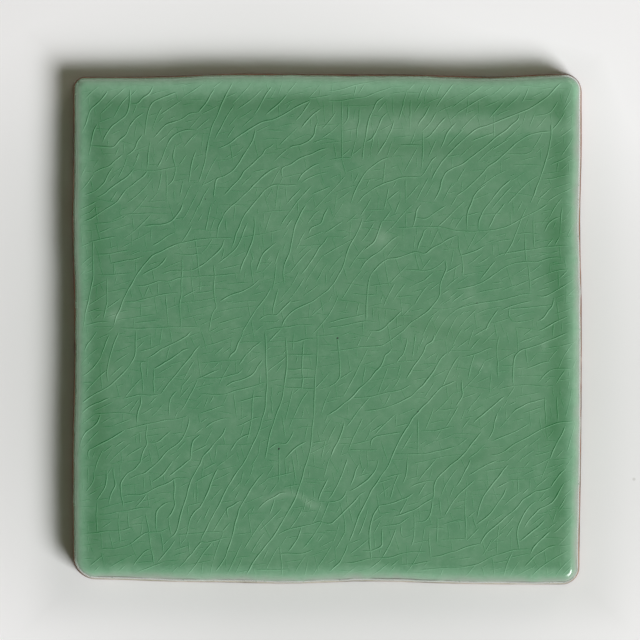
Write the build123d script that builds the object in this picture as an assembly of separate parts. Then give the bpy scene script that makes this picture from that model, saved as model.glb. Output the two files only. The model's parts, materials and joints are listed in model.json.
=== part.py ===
# A hand-made square wall tile: one fired piece of red clay with a thick glaze on its face.
# The tile lies on its back, face up. The origin is at the middle of the back, +X is to the
# right and +Y is up as the tile is seen from the front, and +Z points out of the glazed face.

from build123d import *
import math
import os

# Overall sizes, in millimetres
tile_width = 130.0
tile_height = 130.0
tile_thickness = 10.0

# How far each side of the foot stands out from the true square, at even steps along the side.
# The sides are read clockwise, so the top runs to the right and the bottom to the left.
top_waves = (-0.45, -0.4, 0.25, 0.3, 0.15, 0.0, -0.4, 0.25)
right_waves = (0.1, 0.1, -0.25, 0.1, 0.15, 0.05, -0.2, -0.45)
bottom_waves = (0.4, 0.35, 0.0, -0.4, 0.15, -0.1, -0.4, -0.9)
left_waves = (0.05, 0.25, 0.1, -0.25, -0.1, 0.25, 0.0, 0.0)

# Corner radii of the foot
top_left_radius = 3.1
top_right_radius = 4.6
bottom_right_radius = 4.6
bottom_left_radius = 6.0

# The bare clay edge leans in from a bevelled foot, up to the lip where the glaze coat ends
foot_bevel = 0.4
clay_lean = 0.7
glaze_line_height = 3.0
glaze_lip = 0.3
glaze_lean = 0.35

# The glaze rolls over the edge of the face, by no more than a share of the tightest corner's
# radius and of the height of the coat
edge_roll = 2.1
roll_share = 0.97

# The face falls away towards its edges and carries three slow waves, one length each
face_fall = 0.6
face_fall_power = 8
wave_depth = 0.12
wave_lengths = (61.0, 47.0, 83.0)
wave_headings = (73.0, -27.0, 39.0)
face_stations = 13

# Keying grooves in the back, which the adhesive fills
groove_count = 10
groove_width = 4.0
groove_depth = 0.8
groove_margin = 11.0
groove_draft = 20.0

half_width = tile_width / 2
half_height = tile_height / 2

# Each side: the way it runs, the way it faces, its distance from the middle, its waves, and the
# radius of the corner at its end
sides = (
    (Vector(1, 0), Vector(0, 1), half_height, top_waves, top_right_radius),
    (Vector(0, -1), Vector(1, 0), half_width, right_waves, bottom_right_radius),
    (Vector(-1, 0), Vector(0, -1), half_height, bottom_waves, bottom_left_radius),
    (Vector(0, 1), Vector(-1, 0), half_width, left_waves, top_left_radius),
)


def corner_after(index, inset):
    """The sharp corner where a side meets the next one, both moved in by inset."""
    _, facing, reach, waves, _ = sides[index]
    _, next_facing, next_reach, next_waves, _ = sides[(index + 1) % len(sides)]
    return facing * (reach + waves[-1] - inset) + next_facing * (next_reach + next_waves[0] - inset)


def wavy_side(index, inset):
    """One side between its two round corners: a spline that leaves each corner straight along the side."""
    along, facing, reach, waves, end_radius = sides[index]
    *_, start_radius = sides[index - 1]
    start = corner_after(index - 1, inset).dot(along) + start_radius - inset
    end = corner_after(index, inset).dot(along) - end_radius + inset
    step = (end - start) / (len(waves) - 1)
    points = [
        along * (start + step * place) + facing * (reach + wave - inset)
        for place, wave in enumerate(waves)
    ]
    return Spline(*points, tangents=(along, along))


def outline(inset, height):
    """The tile's closed outline at a height, moved in by inset, with quarter-circle corners."""
    runs = [wavy_side(index, inset) for index in range(len(sides))]
    corners = [
        TangentArc(run @ 1, following @ 0, tangent=side[0])
        for run, following, side in zip(runs, runs[1:] + runs[:1], sides)
    ]
    return Pos(0, 0, height) * make_face(runs + corners)


def face_height(x, y):
    """Height of the glazed face: a fall that grows towards the edges, and the slow waves."""
    fall = face_fall * (abs(x / half_width) ** face_fall_power + abs(y / half_height) ** face_fall_power)
    waves = 0.0
    for length, heading in zip(wave_lengths, wave_headings):
        turn = math.radians(heading)
        waves += math.sin(2 * math.pi * (x * math.cos(turn) + y * math.sin(turn)) / length)
    return tile_thickness - fall + wave_depth * waves / len(wave_lengths)


def block_above_face():
    """Everything above the glazed face, under one smooth surface through a grid of its heights."""
    steps = [2 * station / (face_stations - 1) - 1 for station in range(face_stations)]
    over = 1 + edge_roll / min(half_width, half_height)
    grid = [
        [Vector(x, y, face_height(x, y)) for y in (over * half_height * step for step in steps)]
        for x in (over * half_width * step for step in steps)
    ]
    return extrude(Face.make_surface_from_array_of_points(grid), amount=tile_thickness, dir=(0, 0, 1))


def clay_foot():
    """The bare clay below the glaze line, with its sharp edge taken off round the back."""
    foot = loft([outline(0, 0), outline(clay_lean, glaze_line_height)], ruled=True)
    return chamfer(foot.faces().sort_by(Axis.Z)[0].edges(), foot_bevel)


def glazed_crown():
    """The glazed upper part: it starts at the lip, leans in a little and rolls over into the face."""
    lip_inset = clay_lean - glaze_lip
    rim_inset = lip_inset + glaze_lean
    blank_top = tile_thickness + wave_depth + face_fall
    crown = loft([outline(lip_inset, glaze_line_height), outline(rim_inset, blank_top)], ruled=True)
    crown -= block_above_face()
    tightest_corner = min(side[-1] for side in sides) - rim_inset
    coat_height = tile_thickness - glaze_line_height
    roll = min(edge_roll, roll_share * tightest_corner, roll_share * coat_height)
    return fillet(crown.faces().sort_by(Axis.Z)[-1].edges(), roll)


def keying_grooves():
    """Parallel blind grooves across the back, with sloping walls and round ends."""
    mouth = SlotOverall(tile_width - 2 * groove_margin, groove_width)
    groove = extrude(mouth, amount=groove_depth, taper=groove_draft)
    pitch = (tile_height - 2 * groove_margin - groove_width) / (groove_count - 1)
    return [place * groove for place in GridLocations(0, pitch, 1, groove_count)]


def glazed_tile():
    return clay_foot() + glazed_crown() - keying_grooves()


os.makedirs("parts", exist_ok=True)
export_step(glazed_tile(), "parts/glazed_tile.step")
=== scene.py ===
import json
import math

import bpy
import numpy as np
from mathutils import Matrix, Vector

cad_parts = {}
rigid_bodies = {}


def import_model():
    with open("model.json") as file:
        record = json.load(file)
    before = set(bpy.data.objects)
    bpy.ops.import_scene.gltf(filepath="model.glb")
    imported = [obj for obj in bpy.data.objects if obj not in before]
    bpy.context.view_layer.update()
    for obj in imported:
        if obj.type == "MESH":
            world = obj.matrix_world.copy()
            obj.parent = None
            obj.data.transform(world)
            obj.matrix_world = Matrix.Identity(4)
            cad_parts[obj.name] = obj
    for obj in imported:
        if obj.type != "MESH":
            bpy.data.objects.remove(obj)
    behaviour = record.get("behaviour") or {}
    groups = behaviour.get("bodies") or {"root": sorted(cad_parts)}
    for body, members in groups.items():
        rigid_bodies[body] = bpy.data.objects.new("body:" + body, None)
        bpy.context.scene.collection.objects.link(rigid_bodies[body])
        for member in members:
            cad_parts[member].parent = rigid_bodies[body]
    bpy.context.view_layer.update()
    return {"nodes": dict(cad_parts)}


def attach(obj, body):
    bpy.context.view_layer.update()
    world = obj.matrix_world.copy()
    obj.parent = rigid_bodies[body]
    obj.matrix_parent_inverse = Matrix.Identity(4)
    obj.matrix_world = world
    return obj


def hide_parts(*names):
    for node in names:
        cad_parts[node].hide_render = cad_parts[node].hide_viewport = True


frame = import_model()
mm = 0.001
print("frame loaded:", sorted(frame["nodes"]))

# sizes below are in millimetres with the origin at the middle of the tile's back, x to the right
# and y up as the face is seen; meshes are turned into metres when they are made
tileShape = {
    "width": 130.0,
    "height": 130.0,
    "thickness": 10.0,
    # each side clockwise from the top: the way it runs, the way it faces, how far it wanders from
    # the true square at even steps, and the radius of the corner at its end
    "sides": (
        ((1, 0), (0, 1), (-0.45, -0.4, 0.25, 0.3, 0.15, 0.0, -0.4, 0.25), 4.6),
        ((0, -1), (1, 0), (0.1, 0.1, -0.25, 0.1, 0.15, 0.05, -0.2, -0.45), 4.6),
        ((-1, 0), (0, -1), (0.4, 0.35, 0.0, -0.4, 0.15, -0.1, -0.4, -0.9), 6.0),
        ((0, 1), (-1, 0), (0.05, 0.25, 0.1, -0.25, -0.1, 0.25, 0.0, 0.0), 3.1),
    ),
    "glazeLine": 3.0,
    "clayLean": 0.7,
    "lipInset": 0.42,
    "rimInset": 0.77,
    "edgeRoll": 2.05,
    "rollFrom": 0.06,
    "rollTo": 1.5,
    "faceFall": 0.6,
    "faceFallPower": 8,
    "waveDepth": 0.12,
    "waveLengths": (61.0, 47.0, 83.0),
    "waveHeadings": (73.0, -27.0, 39.0),
    "faceSink": 0.13,  # keeps the crackle's crests under the solid's own face
    # soft unevenness of the glaze: height, size and seed of each noise, and the distances from
    # the outline between which it sets in
    "uneven": ((0.03, 9.0, 3), (0.012, 3.4, 4)),
    "unevenFrom": 0.5,
    "unevenTo": 4.0,
    # dents of the hand-worked edge: depth, size and seed, and how far inside the roll they start
    "dents": ((0.1, 5.0, 21), (0.04, 1.7, 22)),
    "dentReach": 3.0,
}
halfWidth = tileShape["width"] / 2
halfHeight = tileShape["height"] / 2
faceInset = tileShape["rimInset"] + tileShape["edgeRoll"]

latticeSize = 97  # random heights each way, which repeat beyond that
noiseCircle = 70.0  # radius of the circle that noise round the tile is read along
planShare = 0.985  # a piece's plan fills the UV square up to here, and hidden faces lie above it
farAway = 1e3


studio = {
    "keyFrom": (0.74, -0.6, 0.9),  # towards the lamp, from the tile
    "keySize": 1.15,
    "keyPower": 80.0,
    "keyColour": (1.0, 1.0, 1.0),
    "lampDistance": 2.6,
    # weak light off the walls of the room: towards it, its size and power
    "bounces": (((0.6, 0.8, 0.5), 1.4, 7.0), ((-0.97, 0.1, 0.16), 1.2, 3.0)),
    "bounceColour": (1.0, 0.96, 0.8),
    "fill": 0.055,
    "fillColour": (1.0, 0.9, 0.33, 1.0),
    "backdrop": 0.82,
    # the middle of the picture lies off the tile's own middle by this much, in millimetres
    "aim": (-1.85, 2.3),
    "cameraHeight": 1.6,
    "clipFrom": 0.05,
    "clipTo": 20.0,
    "pictureWidth": 163.5,
    "pictureDots": 640,
    "sensor": 36.0,
}


def smooth(low, high, value):
    # 0 at low, 1 at high, and 3t^2 - 2t^3 between
    t = np.clip((value - low) / (high - low), 0, 1)
    return t * t * (3 - 2 * t)


def softNoise(x, y, size, seed):
    # random heights from -1 to 1 on a square lattice, joined smoothly with 3t^2 - 2t^3
    lattice = np.random.default_rng(seed).uniform(-1, 1, (latticeSize, latticeSize))
    gx = np.asarray(x) / size + latticeSize // 2
    gy = np.asarray(y) / size + latticeSize // 2
    i = np.floor(gx).astype(int)
    j = np.floor(gy).astype(int)
    tx = smooth(0, 1, gx - i)
    ty = smooth(0, 1, gy - j)
    i0, i1, j0, j1 = (index % latticeSize for index in (i, i + 1, j, j + 1))
    low = lattice[i0, j0] * (1 - tx) + lattice[i1, j0] * tx
    high = lattice[i0, j1] * (1 - tx) + lattice[i1, j1] * tx
    return low * (1 - ty) + high * ty


def noiseLayers(x, y, layers):
    # sum of amount * noise over layers of amount, size and seed
    return sum(amount * softNoise(x, y, size, seed) for amount, size, seed in layers)


def noiseAround(angle, size, seed, shift=0.0):
    # noise read along a circle round the tile, so that it has no seam; shift moves off the circle
    x = noiseCircle * np.cos(angle) + shift
    y = noiseCircle * np.sin(angle) - shift
    return softNoise(x, y, size, seed)


def cubic(first, firstSlope, last, lastSlope, t):
    # first at t = 0 and last at t = 1, with the given slopes there and a cubic between
    return (
        first * (2 * t**3 - 3 * t**2 + 1)
        + firstSlope * (t**3 - 2 * t**2 + t)
        + last * (3 * t**2 - 2 * t**3)
        + lastSlope * (t**3 - t**2)
    )


def sideWander(values, run):
    # cubic spline through the values at even steps, level at both ends; run goes from 0 to 1
    values = np.array(values)
    spans = len(values) - 1
    system = 4 * np.eye(spans - 1) + np.eye(spans - 1, k=1) + np.eye(spans - 1, k=-1)
    slopes = np.zeros(spans + 1)
    slopes[1:-1] = np.linalg.solve(system, 3 * (values[2:] - values[:-2]))
    at = np.clip(run, 0, 1) * spans
    i = np.minimum(at.astype(int), spans - 1)
    return cubic(values[i], slopes[i], values[i + 1], slopes[i + 1], at - i)


def runEnds(side):
    # where the wandering run of a side starts and ends, along the side
    _, facing, _, endRadius = tileShape["sides"][side]
    _, _, wanderBefore, startRadius = tileShape["sides"][side - 1]
    _, _, wanderAfter, _ = tileShape["sides"][(side + 1) % 4]
    crossReach = halfWidth if facing[1] else halfHeight
    return startRadius - crossReach - wanderBefore[-1], crossReach + wanderAfter[0] - endRadius


def sidePoint(side, share, inset):
    # a point on one side of the outline: half a corner arc, the wandering run, half a corner arc.
    # share goes from 0 at the middle of the first corner to 1 at the middle of the last
    way, facing, wander, endRadius = tileShape["sides"][side]
    startRadius = tileShape["sides"][side - 1][3]
    reach = halfHeight if facing[1] else halfWidth
    first, last = runEnds(side)
    startArc = startRadius * math.pi / 4
    endArc = endRadius * math.pi / 4
    distance = share * (startArc + last - first + endArc)
    run = np.clip((distance - startArc) / (last - first), 0, 1)
    startTurn = np.clip((startArc - distance) / startRadius, 0, math.pi / 4)
    endTurn = np.clip((distance - startArc - last + first) / endRadius, 0, math.pi / 4)
    startBend = startRadius - inset
    endBend = endRadius - inset
    along = first + run * (last - first)
    along = along - startBend * np.sin(startTurn) + endBend * np.sin(endTurn)
    out = reach + sideWander(wander, run) - inset
    out = out - startBend * (1 - np.cos(startTurn)) - endBend * (1 - np.cos(endTurn))
    return along * way[0] + out * facing[0], along * way[1] + out * facing[1]


def outlineAt(a, b, inset):
    # the outline's point in the direction of (a, b) on the edge of the square from -1 to 1
    x = np.zeros_like(a)
    y = np.zeros_like(a)
    upright = np.abs(b) >= np.abs(a)
    places = (
        (upright & (b > 0), (a + 1) / 2),
        (~upright & (a > 0), (1 - b) / 2),
        (upright & (b <= 0), (1 - a) / 2),
        (~upright & (a <= 0), (b + 1) / 2),
    )
    for side, (here, share) in enumerate(places):
        sx, sy = sidePoint(side, share, inset)
        x = np.where(here, sx, x)
        y = np.where(here, sy, y)
    return x, y


def edgeDistance(x, y):
    # distance in from the outline: the gap to the nearer level side and to the nearer upright
    # side, each with its wander, and round the corner the radius less the way from its middle
    gaps = []
    for side, (way, facing, wander, _) in enumerate(tileShape["sides"]):
        first, last = runEnds(side)
        run = (x * way[0] + y * way[1] - first) / (last - first)
        reach = halfHeight if facing[1] else halfWidth
        gaps.append(reach + sideWander(wander, run) - x * facing[0] - y * facing[1])
    topRight, bottomRight, bottomLeft, topLeft = (side[3] for side in tileShape["sides"])
    level = np.where(y > 0, gaps[0], gaps[2])
    upright = np.where(x > 0, gaps[1], gaps[3])
    right = np.where(y > 0, topRight, bottomRight)
    left = np.where(y > 0, topLeft, bottomLeft)
    radius = np.where(x > 0, right, left)
    corner = (level < radius) & (upright < radius)
    rounded = radius - np.hypot(radius - level, radius - upright)
    return np.where(corner, rounded, np.minimum(level, upright))


# the swells and hollows of the thick glaze that show by name: middle x, y, half length, half
# width, heading in degrees and height
faceSwells = (
    (12.0, 57.0, 46.0, 2.4, 0.0, -0.05),
    (34.0, 51.4, 32.0, 2.6, 1.0, 0.05),
    (-30.0, 53.0, 20.0, 3.0, 2.0, -0.03),
    (14.0, 46.2, 40.0, 2.6, 1.0, -0.05),
    (-47.0, 17.6, 12.0, 1.8, -11.0, -0.035),
    (26.0, 0.6, 30.0, 1.7, -16.0, -0.035),
    (38.0, -32.4, 17.0, 1.7, 14.0, -0.03),
    (13.6, 23.0, 2.4, 1.7, 60.0, 0.065),
    (-54.1, 3.6, 1.5, 1.2, 20.0, 0.05),
    (-51.8, 2.8, 3.2, 1.6, 10.0, 0.02),
    (38.6, -9.2, 2.9, 1.6, -20.0, 0.03),
    (37.5, -1.0, 2.4, 0.7, -8.0, 0.035),
    (37.0, 8.7, 5.0, 2.6, -30.0, 0.02),
    (54.6, -5.0, 2.6, 0.8, 60.0, 0.035),
    (-14.0, -50.5, 3.0, 2.4, 60.0, 0.02),
    (-3.6, -44.6, 2.2, 0.9, -20.0, 0.04),
)
# a burst bubble that healed, of which only the upper part of the ring stands out: that part sets
# in between two rises over the ring's middle, as shares of the distance from it
healedBubble = {
    "middle": (-10.2, -49.7),
    "radius": 7.9,
    "width": 0.9,
    "height": 0.045,
    "upperFrom": 0.3,
    "upperTo": 0.9,
}


def swells(x, y):
    # each swell is height * exp(-(along / half length)^2 - (across / half width)^2), and the ring
    # is height * exp(-((distance from its middle - radius) / width)^2)
    total = np.zeros_like(x)
    for middleX, middleY, halfLength, halfAcross, heading, height in faceSwells:
        turn = math.radians(heading)
        along = (x - middleX) * math.cos(turn) + (y - middleY) * math.sin(turn)
        across = (y - middleY) * math.cos(turn) - (x - middleX) * math.sin(turn)
        total = total + height * np.exp(-((along / halfLength) ** 2) - (across / halfAcross) ** 2)
    middleX, middleY = healedBubble["middle"]
    away = np.hypot(x - middleX, y - middleY)
    rise = (y - middleY) / np.maximum(away, 0.1)
    upper = smooth(healedBubble["upperFrom"], healedBubble["upperTo"], rise)
    ring = np.exp(-(((away - healedBubble["radius"]) / healedBubble["width"]) ** 2))
    return total + healedBubble["height"] * upper * ring


def faceHeight(x, y):
    # the solid's own face: thickness less a fall that grows with the 8th power of the distance
    # out, plus three slow sine waves; then the swells and a soft random unevenness
    power = tileShape["faceFallPower"]
    fall = tileShape["faceFall"] * (np.abs(x / halfWidth) ** power + np.abs(y / halfHeight) ** power)
    waves = 0
    for length, heading in zip(tileShape["waveLengths"], tileShape["waveHeadings"]):
        turn = math.radians(heading)
        waves = waves + np.sin(2 * math.pi * (x * math.cos(turn) + y * math.sin(turn)) / length)
    waves = tileShape["waveDepth"] * waves / len(tileShape["waveLengths"])
    inside = smooth(tileShape["unevenFrom"], tileShape["unevenTo"], edgeDistance(x, y))
    uneven = noiseLayers(x, y, tileShape["uneven"]) * inside
    return tileShape["thickness"] - fall + waves - tileShape["faceSink"] + swells(x, y) + uneven


def rollDrop(inset):
    # fall of the rolled edge under the face: a quarter round that starts at rollFrom
    first, last = tileShape["rollFrom"], tileShape["rollTo"]
    rise = (faceInset - inset) / tileShape["edgeRoll"] + math.sin(first)
    rise = np.clip(rise, math.sin(first), math.sin(last))
    return tileShape["edgeRoll"] * (math.cos(first) - np.sqrt(1 - rise**2))


def edgeDent(x, y, inset):
    # how far the hand-worked edge is pressed in: the sum of depth * (1 + noise), which starts a
    # little inside the roll
    angle = np.arctan2(y, x)
    dents = sum(depth * (1 + noiseAround(angle, size, seed)) for depth, size, seed in tileShape["dents"])
    return dents * smooth(faceInset + tileShape["dentReach"], tileShape["rimInset"], inset)


def gridQuads(index, order=(0, 1, 2, 3)):
    # one quad for each cell of a grid of point numbers
    corners = (index[:-1, :-1], index[1:, :-1], index[1:, 1:], index[:-1, 1:])
    return np.stack([corners[n] for n in order], -1).reshape(-1, 4)


def gridRim(index):
    # the point numbers once round the edge of a grid
    return np.concatenate([index[0, :-1], index[:-1, -1], index[-1, :0:-1], index[:0:-1, 0]])


def fanFaces(rim, top):
    # triangles from each edge of a closed rim to one point
    return np.stack([rim, np.full_like(rim, top), np.roll(rim, -1)], -1)


def makePiece(name, points, faces, material, seams=None, flat=False):
    # points in millimetres, faces as a list of index arrays, seams as the UV of every face corner
    mesh = bpy.data.meshes.new(name)
    corners = [face for block in faces for face in block.tolist()]
    mesh.from_pydata((np.asarray(points) * mm).tolist(), [], corners)
    mesh.validate()
    if seams is not None:
        layer = mesh.uv_layers.new(name="OFBake")
        layer.data.foreach_set("uv", np.ascontiguousarray(seams, dtype=np.float32).ravel())
    mesh.polygons.foreach_set("use_smooth", np.full(len(mesh.polygons), not flat))
    mesh.update()
    piece = bpy.data.objects.new(name, mesh)
    bpy.context.scene.collection.objects.link(piece)
    piece.data.materials.append(material)
    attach(piece, "root")
    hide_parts("glazed_tile")
    return piece


def addMask(piece, name, values, domain="POINT"):
    layer = piece.data.attributes.new(name, "FLOAT", domain)
    layer.data.foreach_set("value", np.ascontiguousarray(values, dtype=np.float32).ravel())


# how deep the melted glaze lies: the colour runs from pale where it is thin, over the rolled
# edge, to dark where it pooled inside that edge; painted light and shade lie on it as well
glazeDepth = {
    # painted light: a pale rim band, lifted on the sides that turn from the lamp
    "paintedRimFrom": 0.9,
    "paintedRimTo": 2.9,
    "creamFrom": 0.4,
    # each side's own, top, right, bottom, left: where the pale band starts to fade and where it
    # ends, where the cream edge ends, and how strongly the glaze pooled, thinned and went cream
    "thinFrom": (2.0, 2.2, 2.2, 2.0),
    "thinTo": (8.0, 5.2, 5.8, 5.8),
    "creamTo": (0.8, 3.3, 3.4, 0.8),
    "poolAt": 6.9,
    "poolWidth": 2.7,
    "poolStrength": (0.35, 0.65, 0.1, 0.6),
    "thinStrength": (0.32, 0.26, 0.26, 0.24),
    # how much painted light lifts the rim on each side; none on the lit right and bottom
    "paintedRimLight": (0.54, 0.0, 0.0, 0.68),
    "creamStrength": (0.35, 0.85, 0.85, 0.3),
    # size and seed of the slow and the ragged noise that move the bands in and out, and how far
    "slowNoise": (7.0, 11),
    "raggedNoise": (1.6, 12),
    "thinMoves": (0.35, 0.12),
    "paintedRimMoves": 0.1,
    "creamMoves": 0.2,
    "poolMoves": 0.9,
    # how strong the cream edge and the pool are along the way: mean, and amount, size and seed
    "creamMean": 0.85,
    "creamNoise": ((0.3, 3.5, 17),),
    "poolMean": 0.8,
    "poolNoise": ((0.5, 5.0, 13),),
    "poolOnSwells": 7.0,  # how much less it pools on each millimetre of a swell
    # patches of the middle, and how they grow lighter to the right and to the top
    "blotches": ((0.5, 14.0, 14), (0.4, 5.5, 15), (0.25, 2.6, 16)),
    "lighterRight": 0.55,
    "lighterUp": 0.2,
    "lighterReach": 40.0,
    # painted shade along the rim: a dark, broken line where the gap under the coat's lip lies in shade
    "lipShadeAt": 1.0,
    "lipShadeWidth": 0.15,
    "lipShadeStrength": (0.2, 0.12, 0.95, 0.1),
    "lipShadeWander": ((0.14, 9.0, 18), (0.05, 2.2, 54)),
    "lipShadeBreaks": ((1.0, 4.0, 19), (0.5, 1.7, 55)),
    "breakFrom": -0.9,
    "breakTo": 0.6,
    # milky veils, and pale spots of painted sheen that stand on the swells
    "hazeMean": 0.05,
    "hazeNoise": ((0.16, 6.0, 51), (0.13, 2.8, 52), (0.16, 1.3, 53)),
    "haze": 0.65,
    "swellSheen": 9.0,
}


def sideShares(x, y):
    # how near a point is to each side, top, right, bottom, left, as shares that add up to one:
    # exp(sharpness * nearness) over the sum of the four
    sharpness = 18
    nearness = np.stack([y / halfHeight, x / halfWidth, -y / halfHeight, -x / halfWidth])
    shares = np.exp(sharpness * (nearness - nearness.max(0)))
    return shares / shares.sum(0)


def bySide(shares, values):
    return sum(share * value for share, value in zip(shares, values))


def depthMasks(x, y, distance):
    # thin, cream, pool and the line of painted shade under the coat's lip, each from 0 to about 1,
    # out of the distance from the outline with a little noise in it; blotches are the slow patches
    # of the middle, and haze the milky veils and the painted sheen on the swells
    depth = glazeDepth
    shares = sideShares(x, y)
    slow = softNoise(x, y, *depth["slowNoise"])
    ragged = softNoise(x, y, *depth["raggedNoise"])
    risen = swells(x, y)

    slowMove, raggedMove = depth["thinMoves"]
    moved = distance + slowMove * slow + raggedMove * ragged
    thin = 1 - smooth(bySide(shares, depth["thinFrom"]), bySide(shares, depth["thinTo"]), moved)
    # the rim band is painted light, paler where the sides turn from the lamp
    rim = 1 - smooth(depth["paintedRimFrom"], depth["paintedRimTo"], distance + depth["paintedRimMoves"] * ragged)
    thin = thin * bySide(shares, depth["thinStrength"]) + rim * bySide(shares, depth["paintedRimLight"])

    moved = distance + depth["creamMoves"] * ragged
    cream = 1 - smooth(depth["creamFrom"], bySide(shares, depth["creamTo"]), moved)
    cream = cream * bySide(shares, depth["creamStrength"])
    cream = cream * (depth["creamMean"] + noiseLayers(x, y, depth["creamNoise"]))

    moved = distance + depth["poolMoves"] * slow
    pool = np.exp(-(((moved - depth["poolAt"]) / depth["poolWidth"]) ** 2))
    pool = pool * bySide(shares, depth["poolStrength"])
    pool = pool * (depth["poolMean"] + noiseLayers(x, y, depth["poolNoise"])) - depth["poolOnSwells"] * risen

    blotches = noiseLayers(x, y, depth["blotches"])
    blotches = blotches + depth["lighterRight"] * np.tanh(x / depth["lighterReach"])
    blotches = blotches + depth["lighterUp"] * np.tanh(y / depth["lighterReach"])

    # the line of painted shade under the coat's lip, broken into dashes
    moved = distance + noiseLayers(x, y, depth["lipShadeWander"])
    lipShade = np.exp(-(((moved - depth["lipShadeAt"]) / depth["lipShadeWidth"]) ** 2))
    broken = smooth(depth["breakFrom"], depth["breakTo"], noiseLayers(x, y, depth["lipShadeBreaks"]))
    lipShade = lipShade * broken * bySide(shares, depth["lipShadeStrength"])

    haze = depth["hazeMean"] + noiseLayers(x, y, depth["hazeNoise"]) * depth["haze"]
    # painted sheen on the swells
    haze = haze + depth["swellSheen"] * np.maximum(risen, 0)
    return {
        "thin": thin, "cream": cream, "pool": pool, "blotches": blotches, "lipShade": lipShade, "haze": haze,
    }


glazeCoat = {
    "faceRings": 126,
    "rollRings": 15,
    "wallRings": 8,
    "lipRings": 4,
    "bendFrom": 0.8,  # share of the way out from which the rings bend to the outline
    "lineWander": ((0.55, 6.0, 23), (0.275, 2.0, 24)),  # how the coat's lower edge runs up and down
    "beadHeight": 0.45,
    "lipTuck": 0.25,  # how far inside the clay's surface the lip ends
    "hiddenStrip": (0.99, 1.0),  # where the hidden fan lies in the UV square
}


def buildGlaze(material):
    # one grid over the tile: rings about the middle for the face, then the quarter round of the
    # rolled edge, the wall that leans out and the rounded bead of the coat's lower edge
    faceRings = glazeCoat["faceRings"]
    rollRings = glazeCoat["rollRings"]
    wallRings = glazeCoat["wallRings"]
    lipRings = glazeCoat["lipRings"]
    rings = faceRings + rollRings + wallRings + lipRings
    i, k = np.meshgrid(np.arange(-rings, rings + 1), np.arange(-rings, rings + 1), indexing="ij")
    ring = np.maximum(np.abs(i), np.abs(k))
    safeRing = np.maximum(ring, 1)
    a, b = i / safeRing, k / safeRing

    # the edge's profile, one inset and one drop or share of the wall for each ring
    firstTurn, lastTurn = tileShape["rollFrom"], tileShape["rollTo"]
    turn = firstTurn + (lastTurn - firstTurn) * np.arange(1, rollRings + 1) / rollRings
    roll = tileShape["edgeRoll"]
    rollInset = faceInset - roll * (np.sin(turn) - math.sin(firstTurn))
    drop = roll * (math.cos(firstTurn) - np.cos(turn))
    down = np.arange(1, wallRings + 1) / wallRings
    wallInset = rollInset[-1] + (tileShape["lipInset"] - rollInset[-1]) * down
    tuck = np.arange(1, lipRings + 1) / lipRings * math.pi / 2
    beadDepth = tileShape["clayLean"] + glazeCoat["lipTuck"] - tileShape["lipInset"]
    lipInset = tileShape["lipInset"] + beadDepth * (1 - np.cos(tuck))
    inset = np.concatenate([np.full(faceRings + 1, faceInset), rollInset, wallInset, lipInset])[ring]

    edgeX, edgeY = outlineAt(a, b, np.minimum(inset, faceInset))
    share = np.minimum(ring / faceRings, 1)
    evenX = i / faceRings * (halfWidth - faceInset)
    evenY = k / faceRings * (halfHeight - faceInset)
    toEdge = smooth(glazeCoat["bendFrom"], 1.0, share)
    x = np.where(share < 1, evenX * (1 - toEdge) + share * edgeX * toEdge, edgeX)
    y = np.where(share < 1, evenY * (1 - toEdge) + share * edgeY * toEdge, edgeY)

    # the hand-worked edge: dents of the roll and a wandering lower edge
    angle = np.arctan2(y, x)
    dent = edgeDent(x, y, np.where(ring <= faceRings, edgeDistance(x, y), inset))
    shrink = 1 - dent / np.maximum(np.hypot(x, y), 1)
    x = x * shrink
    y = y * shrink
    wander = sum(amount * noiseAround(angle, size, seed) for amount, size, seed in glazeCoat["lineWander"])
    beadTop = tileShape["glazeLine"] + wander + glazeCoat["beadHeight"]

    def perRing(before, values, after):
        # a value for each point: 0 on the rings before, then the values, then the last one
        return np.concatenate([np.zeros(before + 1), values, np.full(after, values[-1])])[ring]

    z = faceHeight(x, y) - perRing(faceRings, drop, wallRings + lipRings)
    z = z + (beadTop - z) * perRing(faceRings + rollRings, down, lipRings)
    z = z - glazeCoat["beadHeight"] * perRing(faceRings + rollRings + wallRings, np.sin(tuck), 0)

    count = 2 * rings + 1
    index = np.arange(count * count).reshape(count, count)
    quads = gridQuads(index)
    points = np.stack([x, y, z], -1).reshape(-1, 3)

    # the coat is closed by a fan under the face, inside the clay
    points = np.concatenate([points, [[0, 0, tileShape["glazeLine"]]]])
    fan = fanFaces(gridRim(index), count * count)

    plan = np.stack([(i + rings) / (2 * rings), (k + rings) / (2 * rings) * planShare], -1).reshape(-1, 2)
    step = np.arange(len(fan)) / len(fan)
    low, high = (np.full_like(step, level) for level in glazeCoat["hiddenStrip"])
    nextStep = step + 1 / len(fan)
    strip = [np.stack(pair, -1) for pair in ((step, low), (step, high), (nextStep, low))]
    strip = np.stack(strip, 1)
    seams = np.concatenate([plan[quads.ravel()], strip.reshape(-1, 2)])
    piece = makePiece("glazeCoat", points, [quads, fan], material, seams)

    distance = np.where(ring <= faceRings, edgeDistance(x, y), inset)
    for name, values in depthMasks(x, y, distance).items():
        addMask(piece, name, np.append(values.ravel(), 0))
    print("glaze coat:", len(piece.data.polygons), "faces")


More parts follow.
